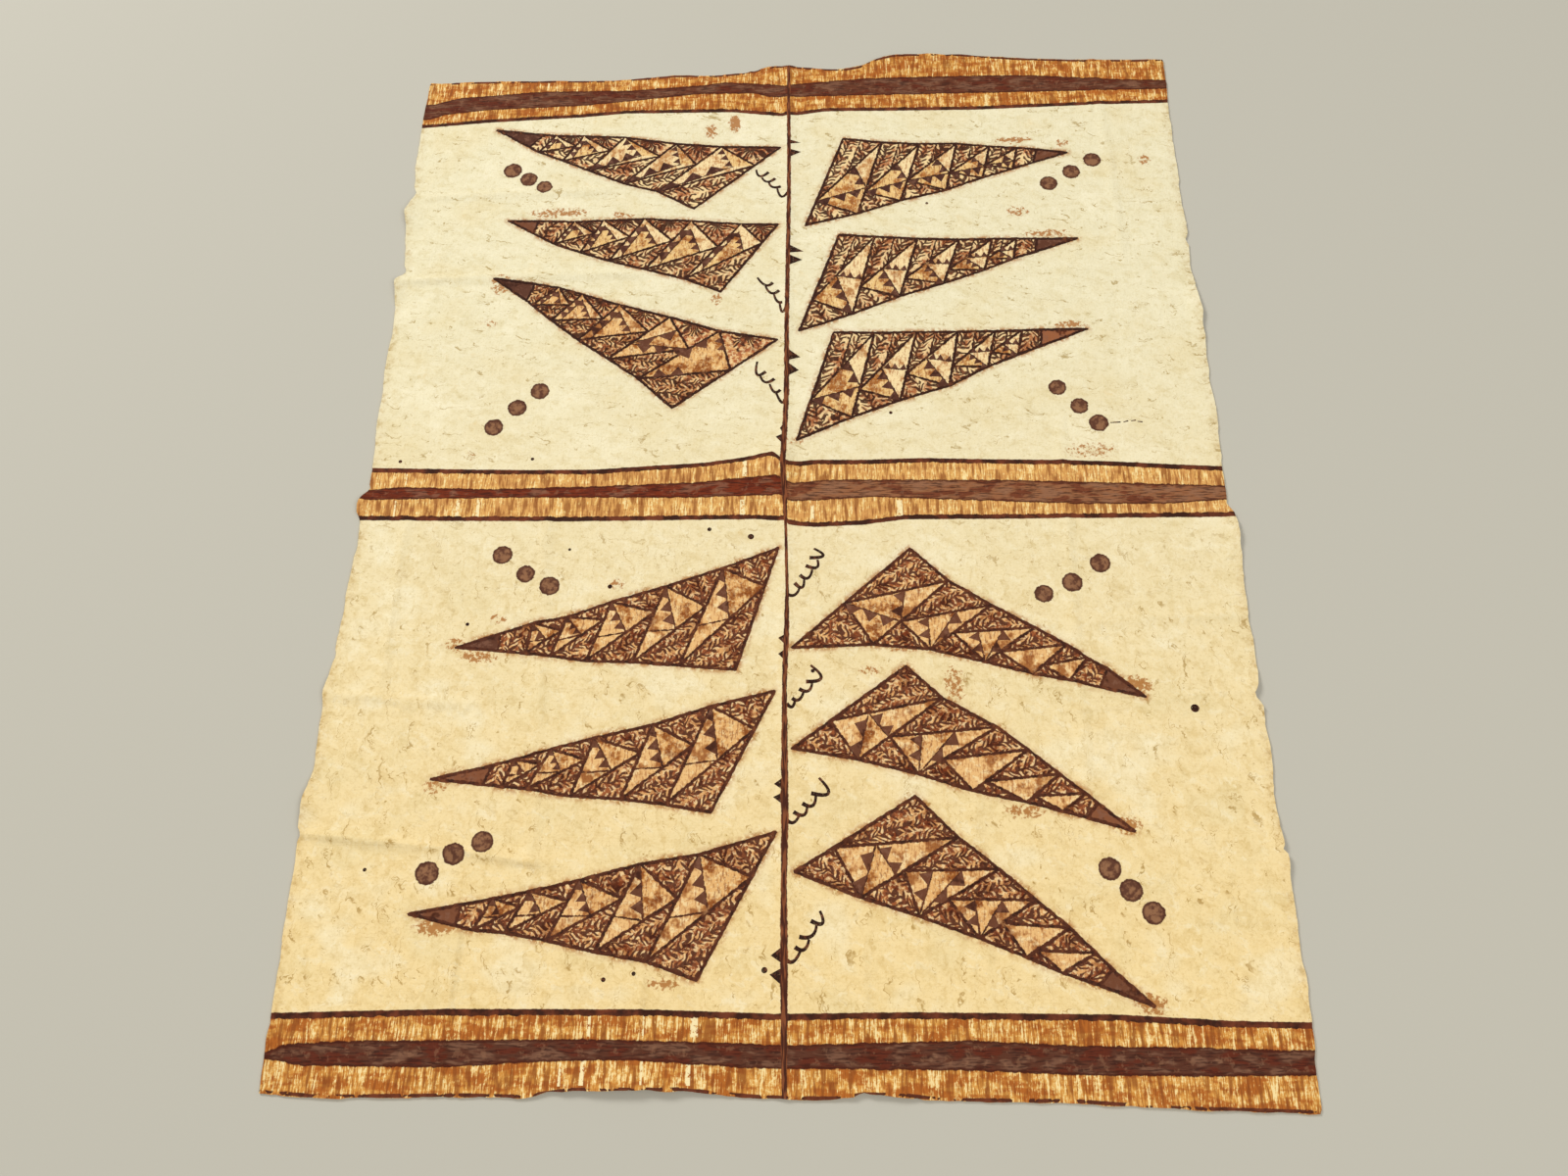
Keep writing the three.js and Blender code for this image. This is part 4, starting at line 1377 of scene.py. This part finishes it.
def bark_material():
    s = Shader("painted_bark")
    coordinates = s.node("ShaderNodeTexCoord").outputs["Object"]
    scaled = s.node("ShaderNodeVectorMath", operation="MULTIPLY")
    s.plug(scaled.inputs[0], coordinates)
    scaled.inputs[1].default_value = (1000, 1000, 0)
    place = scaled.outputs[0]
    x, y, _ = s.split(place)

    painted, ground = paint_colour(s, place, x, y)
    up = s.read("faces_up").outputs["Fac"]
    back = s.multiply(ground, (226, 206, 168), 0.8)
    show_through = s.colour(back, painted, 0.12)
    colour = s.colour(show_through, painted, up)

    fibres = s.noise(place, 22, 2.4, 1, 0.65, 109.0)
    ribs = s.noise(place, 2.6, 20, 1, 0.65, 113.0)
    lumps = s.noise(place, 13, 16, 2, 0.62, 127.0)
    relief = s.add(s.add(s.times(fibres, 0.5), s.times(ribs, 0.5)), s.times(lumps, 2.4))
    bump = s.node("ShaderNodeBump")
    bump.inputs["Strength"].default_value = 0.7
    bump.inputs["Distance"].default_value = 0.0007
    s.plug(bump.inputs["Height"], relief)

    finish = s.node("ShaderNodeBsdfPrincipled")
    s.plug(finish.inputs["Base Color"], colour)
    s.plug(finish.inputs["Roughness"], s.ramp(lumps, 0.3, 0.7, 0.78, 0.92))
    finish.inputs["Specular IOR Level"].default_value = 0.12
    s.plug(finish.inputs["Normal"], bump.outputs[0])
    output = s.node("ShaderNodeOutputMaterial")
    s.plug(output.inputs["Surface"], finish.outputs[0])
    return s.material


def link(name, data):
    thing = bpy.data.objects.new(name, data)
    bpy.context.scene.collection.objects.link(thing)
    return thing


def bark_cloth():
    mesh = sheet_mesh()
    mesh.materials.append(bark_material())
    cloth = link("bark_cloth", mesh)
    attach(cloth, "root")
    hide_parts("tapa_cloth")
    return cloth


# Floor, light and camera

def floor():
    mesh = bpy.data.meshes.new("floor")
    reach = 20.0
    corners = [(-reach, -reach, 0), (reach, -reach, 0), (reach, reach, 0), (-reach, reach, 0)]
    mesh.from_pydata(corners, [], [(0, 1, 2, 3)])
    s = Shader("pale_floor")
    finish = s.node("ShaderNodeBsdfPrincipled")
    finish.inputs["Base Color"].default_value = shade(188, 184, 170)
    finish.inputs["Roughness"].default_value = 0.9
    output = s.node("ShaderNodeOutputMaterial")
    s.plug(output.inputs["Surface"], finish.outputs[0])
    mesh.materials.append(s.material)
    plane = link("floor", mesh)
    plane.location.z = -0.0003


def soft_light(name, place, aim, size, watts):
    light = bpy.data.lights.new(name, "AREA")
    light.shape = "SQUARE"
    light.size = size
    light.energy = watts
    lamp = link(name, light)
    lamp.location = place
    lamp.rotation_euler = (Vector(aim) - Vector(place)).to_track_quat("-Z", "Y").to_euler()


def lighting():
    world = bpy.data.worlds.new("studio")
    world.use_nodes = True
    world.node_tree.nodes["Background"].inputs["Color"].default_value = (1.0, 0.985, 0.95, 1)
    world.node_tree.nodes["Background"].inputs["Strength"].default_value = 0.42
    bpy.context.scene.world = world
    soft_light("key", (-5.0, 4.6, 5.0), (0, 0, 0), 2.6, 475)
    soft_light("fill", (4.0, -3.6, 6.0), (0, 0, 0), 5.0, 290)


def camera(centre):
    data = bpy.data.cameras.new("camera")
    data.sensor_width = 36
    data.lens = CAMERA_LENS
    eye = link("camera", data)
    eye.location = (np.array(CAMERA_PLACE) - (*centre, 0)) * MM
    eye.rotation_mode = "ZYX"
    eye.rotation_euler = [math.radians(angle) for angle in CAMERA_TILT]
    bpy.context.scene.camera = eye


loop_box = edge_loop()
camera((loop_box.min(axis=0) + loop_box.max(axis=0)) / 2)
bark_cloth()
floor()
lighting()
bpy.context.scene.view_settings.view_transform = "Standard"
